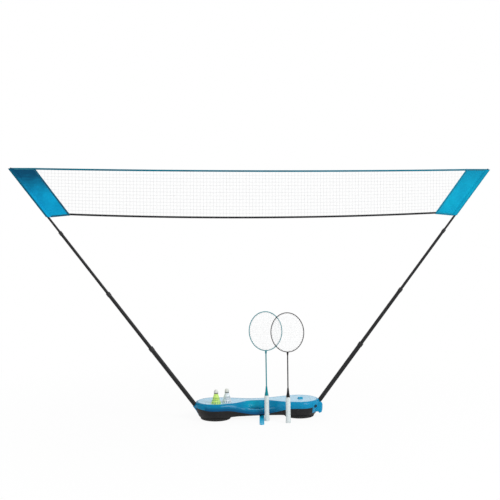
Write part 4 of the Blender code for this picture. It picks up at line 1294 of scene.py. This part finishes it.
def grommets():
    """One nylon bush, shaped once and set at every string end."""
    fresh()
    bpy.ops.mesh.primitive_cylinder_add(vertices=8, radius=GROMMET_RADIUS, depth=GROMMET_LENGTH)
    first = bpy.context.object
    edit_faces(first, lambda face: face.normal.z < -0.9)
    bpy.ops.mesh.inset(thickness=COLLAR_INSET)
    bpy.ops.mesh.extrude_region_move(TRANSFORM_OT_translate={"value": (0, 0, -COLLAR_LENGTH)})
    done()
    copies = []
    for spot, aim in string_ends():
        turn = aim.to_track_quat("Z", "Y").to_matrix().to_4x4()
        copy = bpy.data.objects.new("grommet", first.data.copy())
        copy.matrix_world = Matrix.Translation(spot + aim * GROMMET_OUTWARD) @ turn
        bpy.context.scene.collection.objects.link(copy)
        copies.append(copy)
    bpy.data.objects.remove(first)
    pick(*copies)
    bpy.ops.object.join()
    apply_place()
    return copies[0]


nylon_black = moulded("Grommet black nylon", *NYLON_BLACK, 0.42, 2000.0, 0.00003)
for word in rackets:
    stand_on(grommets(), word, "grommets", nylon_black)
    stand_on(string_bed(), word, "string_bed", strings, f"{word}_racket_strings")

# %% [markdown]
# ## Wound grips
#
# A grip is one long tape wound up the handle, each turn half over the last, which leaves a spiral
# ridge. A cylinder with many rings takes that shape when each point's radius follows its height
# minus its angle. Under the winding, the handle's profile swells towards the butt.

# %% Profile of the grip
GRIP_LENGTH = 0.150
GRIP_PROFILE = (
    (0.0, 0.0148),
    (0.003, 0.0160),
    (0.010, 0.0159),
    (0.026, 0.0142),
    (0.080, 0.0137),
    (0.148, 0.0139),
)


def profile_radius(profile, height):
    """The radius at a height, eased between the profile's (height, radius) pairs."""
    for (low, first), (high, second) in zip(profile, profile[1:]):
        if height <= high:
            share = max(0.0, (height - low) / (high - low))
            share = share * share * (3 - 2 * share)
            return first + (second - first) * share
    return profile[-1][1]


thin, thick = (round(2000 * GRIP_PROFILE[i][1], 1) for i in (-1, 1))
print("the grip swells from", thin, "to", thick, "mm")

# %% [markdown]
# The ridge starts a little above the butt and ends just before the cone. Both ends of the grip are
# bevelled, as wound tape rounds them.

# %% Winding of the grip
GRIP_PITCH = 0.0155
GRIP_RADIUS = 0.0139
GRIP_RINGS = 130
END_BEVEL = 0.0008
RIDGE, RIDGE_FOOT = 0.0006, 0.0002
RIDGE_START, RIDGE_END = 0.012, GRIP_LENGTH - 0.003


def wound_grip():
    fresh()
    bpy.ops.mesh.primitive_cylinder_add(
        vertices=36,
        radius=GRIP_RADIUS,
        depth=GRIP_LENGTH,
        location=(0, 0, GRIP_LENGTH / 2),
    )
    piece = bpy.context.object
    apply_place()
    cut_rings(piece, GRIP_RINGS)
    for vertex in piece.data.vertices:
        height = min(max(vertex.co.z, 0.0), GRIP_LENGTH)
        turn = math.atan2(vertex.co.y, vertex.co.x)
        wound = (height / GRIP_PITCH - turn / (2 * math.pi)) % 1.0
        ridge = RIDGE * wound ** 0.6 if RIDGE_START < height < RIDGE_END else 0.0
        radius = profile_radius(GRIP_PROFILE, height) - RIDGE_FOOT + ridge
        vertex.co.x, vertex.co.y = radius * math.cos(turn), radius * math.sin(turn)
    rims = piece.modifiers.new("rims", "BEVEL")
    rims.width, rims.segments = END_BEVEL, 3
    rims.angle_limit = math.radians(60)
    apply_all(piece)
    bpy.ops.object.shade_smooth_by_angle(angle=math.radians(50))
    return piece


print("grip", round(GRIP_LENGTH * 1000), "mm long, wound", round(GRIP_LENGTH / GRIP_PITCH), "times")

# %% [markdown]
# The tape is soft and pierced, which the material shows: a pattern of round dots for the holes,
# sunk a little, and a little dirt.

# %% Grip tape, and both grips
TAPE_WHITE, TAPE_SOILED = (0.67, 0.74, 0.75), (0.46, 0.49, 0.49)
HOLE_GREY = (0.30, 0.30, 0.30)


def grip_finish():
    sheet = Sheet("Grip white tape")
    spot = sheet.node("ShaderNodeTexCoord").outputs["Object"]
    settings = {"Vector": spot, "Scale": 420.0, "Randomness": 0.35}
    holes = sheet.node("ShaderNodeTexVoronoi", {"feature": "F1"}, settings)
    pierced = 1 - Value(sheet, holes.outputs["Distance"]).between(0.16, 0.28)
    soiled = grain(sheet, 30.0, 5.0).between(0.50, 0.85)
    tone = mixed(sheet, soiled * 0.35, TAPE_WHITE, TAPE_SOILED)
    tone = mixed(sheet, pierced * 0.45, tone, HOLE_GREY)
    sheet.set(Base_Color=tone, Roughness=0.62 + soiled * 0.15)
    bumped(sheet, grain(sheet, 700.0, 2.0) * 0.4 - pierced, 0.00015)
    return sheet.material


grip_tape = grip_finish()
for word in rackets:
    grip = wound_grip()
    grip.matrix_world = racket_place(word)
    settle(grip, f"{word}_wound_grip", f"{word}_racket", grip_tape, f"{word}_racket_grip")

# %% [markdown]
# ## Shuttlecock skirts
#
# A nylon skirt imitates feathers: sixteen ribs, tied by rings, with open meshes low down and a
# closed skin higher up. A cone cut into rings and columns has all those lines, and taking faces
# out in a pattern leaves the ribs and rings.

# %% Pattern of a skirt
SKIRT_HEIGHT = 0.060
SKIRT_ROWS = 20
OPEN_ROWS = 13
RING_ROWS = (0, 5, 9)
RIBS, COLUMNS_PER_RIB = 16, 4


def is_open(face):
    """Whether this face of the cone is part of an open mesh, between ribs and between rings."""
    row = int(face.center.z / SKIRT_HEIGHT * SKIRT_ROWS)
    turn = math.atan2(face.center.y, face.center.x) % (2 * math.pi)
    column = int(turn / (2 * math.pi) * RIBS * COLUMNS_PER_RIB)
    between_ribs = column % COLUMNS_PER_RIB in (1, 2)
    return between_ribs and row < OPEN_ROWS and row not in RING_ROWS


print("a skirt has", RIBS, "ribs and", len(RING_ROWS), "rings")

# %% [markdown]
# The cone's rings take the skirt's flared profile, raised a little along the ribs. Its lowest edge
# is scalloped between them, like a row of feather tips. Solidify gives it its thickness.

# %% Shape of a skirt
SKIRT_PROFILE = ((0.0, 0.0300), (0.027, 0.0210), (0.060, 0.0124))
SKIRT_THICKNESS = 0.0009
RIB_RELIEF = 0.0004
LOWEST_RING = 0.0005
SCALLOP = 0.0012


def skirt():
    fresh()
    bpy.ops.mesh.primitive_cone_add(
        vertices=RIBS * COLUMNS_PER_RIB,
        radius1=SKIRT_PROFILE[0][1],
        radius2=SKIRT_PROFILE[-1][1],
        depth=SKIRT_HEIGHT,
        end_fill_type="NOTHING",
        location=(0, 0, SKIRT_HEIGHT / 2),
    )
    piece = bpy.context.object
    apply_place()
    cut_rings(piece, SKIRT_ROWS - 1)
    for vertex in piece.data.vertices:
        turn = math.atan2(vertex.co.y, vertex.co.x)
        radius = profile_radius(SKIRT_PROFILE, vertex.co.z) + RIB_RELIEF * math.cos(RIBS * turn)
        vertex.co.x, vertex.co.y = radius * math.cos(turn), radius * math.sin(turn)
        if vertex.co.z < LOWEST_RING:
            vertex.co.z += SCALLOP * (1 - abs(math.cos(RIBS * turn / 2)))
    edit_faces(piece, is_open)
    bpy.ops.mesh.delete(type="FACE")
    done()
    thicken(piece, SKIRT_THICKNESS, offset=-1.0)
    return piece


print("skirt is ready")

# %% [markdown]
# ## Nylon and cork
#
# The nylon is a little cloudy and gets denser towards the neck. The cork is the CAD model's own
# piece, with a pale leather skin and a dark band at its foot, found by its height.

# %% Nylon, cork, and both skirts
SKIRT_SEAT = 0.1041
NECK_START, NECK_END = 0.150, 0.166
BAND_START, BAND_END = 0.0062, 0.0070
CORK_CREAM, CORK_GREY = (0.70, 0.72, 0.68), (0.50, 0.52, 0.48)
BAND_DARK = (0.085, 0.095, 0.080)
shuttles = {"yellow": (-0.266, -0.063), "white": (-0.197, -0.042)}


def nylon(name, colour, shade):
    sheet = Sheet(name)
    height = place(sheet)[2]
    cloudy = grain(sheet, 60.0, 3.0)
    dense = height.between(NECK_START, NECK_END)
    tone = mixed(sheet, cloudy * 0.5 + dense * 0.3, colour, shade)
    sheet.set(Base_Color=tone, Roughness=0.36 + cloudy * 0.14)
    bumped(sheet, grain(sheet, 900.0), 0.00004)
    return sheet.material


def cork_finish():
    sheet = Sheet("Cork pale leather")
    height = place(sheet)[2]
    foot = SKIRT_SEAT + SKIRT_HEIGHT
    band = 1 - height.between(foot + BAND_START, foot + BAND_END)
    pores = grain(sheet, 650.0, 4.0)
    tone = mixed(sheet, pores.between(0.45, 0.75) * 0.5, CORK_CREAM, CORK_GREY)
    tone = mixed(sheet, band * 0.9, tone, BAND_DARK)
    sheet.set(Base_Color=tone, Roughness=0.48 + pores * 0.16)
    bumped(sheet, pores, 0.00010)
    return sheet.material


skirts = {
    "yellow": nylon("Skirt yellow nylon", (0.630, 0.900, 0.200), (0.510, 0.790, 0.150)),
    "white": nylon("Skirt white nylon", (0.760, 0.820, 0.860), (0.610, 0.690, 0.740)),
}
cork = cork_finish()
for word, (x, y) in shuttles.items():
    piece = skirt()
    piece.location = (x, y, SKIRT_SEAT)
    settle(piece, f"{word}_skirt", f"{word}_shuttle", skirts[word], f"{word}_shuttle_skirt")
    coat([f"{word}_shuttle_cork"], cork)

# %% [markdown]
# ## Floor
#
# The photograph is a cut-out on white. A pale floor keeps a faint soft shadow that seats the
# object, and most of what the camera sees of it is plain white light. Farther out the floor is
# wholly white, as the background is, so no horizon shows.

# %% Floor
FLOOR_SIZE = 60
FLOOR_WHITE = (0.90, 0.90, 0.90, 1.0)
WHITE_NEAR, WHITE_MORE_FAR = 0.92, 0.08
FADE_START, FADE_END = 0.5, 2.4

fresh()
bpy.ops.mesh.primitive_plane_add(size=FLOOR_SIZE)
floor = bpy.context.object
floor.name = "floor"
sheet = Sheet("Floor white")
spot = sheet.node("ShaderNodeTexCoord").outputs["Object"]
length = sheet.node("ShaderNodeVectorMath", {"operation": "LENGTH"}, {0: spot})
away = Value(sheet, length.outputs["Value"])
rays = sheet.node("ShaderNodeLightPath")
seen = Value(sheet, rays.outputs["Is Camera Ray"]) + Value(sheet, rays.outputs["Is Glossy Ray"])
sheet.set(Base_Color=FLOOR_WHITE, Roughness=0.95)
white = sheet.node("ShaderNodeEmission", inputs={"Color": (1, 1, 1, 1), "Strength": 1.0})
share = seen * (WHITE_NEAR + away.between(FADE_START, FADE_END) * WHITE_MORE_FAR)
ends = {0: share, 1: sheet.shader.outputs[0], 2: white.outputs[0]}
blend = sheet.node("ShaderNodeMixShader", inputs=ends)
sheet.feed(sheet.tree.nodes["Material Output"].inputs["Surface"], blend.outputs[0])
floor.data.materials.append(sheet.material)
print("floor of", round(floor.dimensions.x), "m")

# %% [markdown]
# ## World and lamps
#
# The world looks pure white to the camera and in reflections, but lights the object with only
# half of that, or its shading would be washed out.

# %% World
WORLD_LIGHT = 0.50

world = bpy.data.worlds.new("studio")
world.use_nodes = True
bpy.context.scene.world = world
air = world.node_tree
background = air.nodes["Background"]
background.inputs["Color"].default_value = (1, 1, 1, 1)
path = air.nodes.new("ShaderNodeLightPath")
looked_at = path.outputs["Is Camera Ray"]
for kind in ("Is Glossy Ray", "Is Transmission Ray"):
    either = air.nodes.new("ShaderNodeMath")
    either.operation = "MAXIMUM"
    air.links.new(looked_at, either.inputs[0])
    air.links.new(path.outputs[kind], either.inputs[1])
    looked_at = either.outputs[0]
level = air.nodes.new("ShaderNodeMapRange")
level.inputs["To Min"].default_value = WORLD_LIGHT
level.inputs["To Max"].default_value = 1.0
air.links.new(looked_at, level.inputs["Value"])
air.links.new(level.outputs[0], background.inputs["Strength"])
print("the world lights with", WORLD_LIGHT, "and looks white")

# %% [markdown]
# One broad lamp stands high at the front right, as the lid's highlights show. A weak one fills the
# left, and one from behind brightens the edges.


# %% Lamps
def lamp(name, size, energy, spot, target):
    light = bpy.data.lights.new(name, "AREA")
    light.shape = "DISK"
    light.size, light.energy = size, energy
    holder = bpy.data.objects.new(name, light)
    holder.location = spot
    holder.rotation_euler = (Vector(target) - Vector(spot)).to_track_quat("-Z", "Y").to_euler()
    bpy.context.scene.collection.objects.link(holder)


lamp("key", 2.5, 150, (3.0, -3.1, 3.6), (0, 0, 0.7))
lamp("fill", 3.5, 26, (-3.4, -2.8, 2.2), (0, 0, 0.6))
lamp("back", 3.0, 40, (0.5, 3.8, 3.0), (0, 0, 0.9))
print("one key, one fill and one back light")
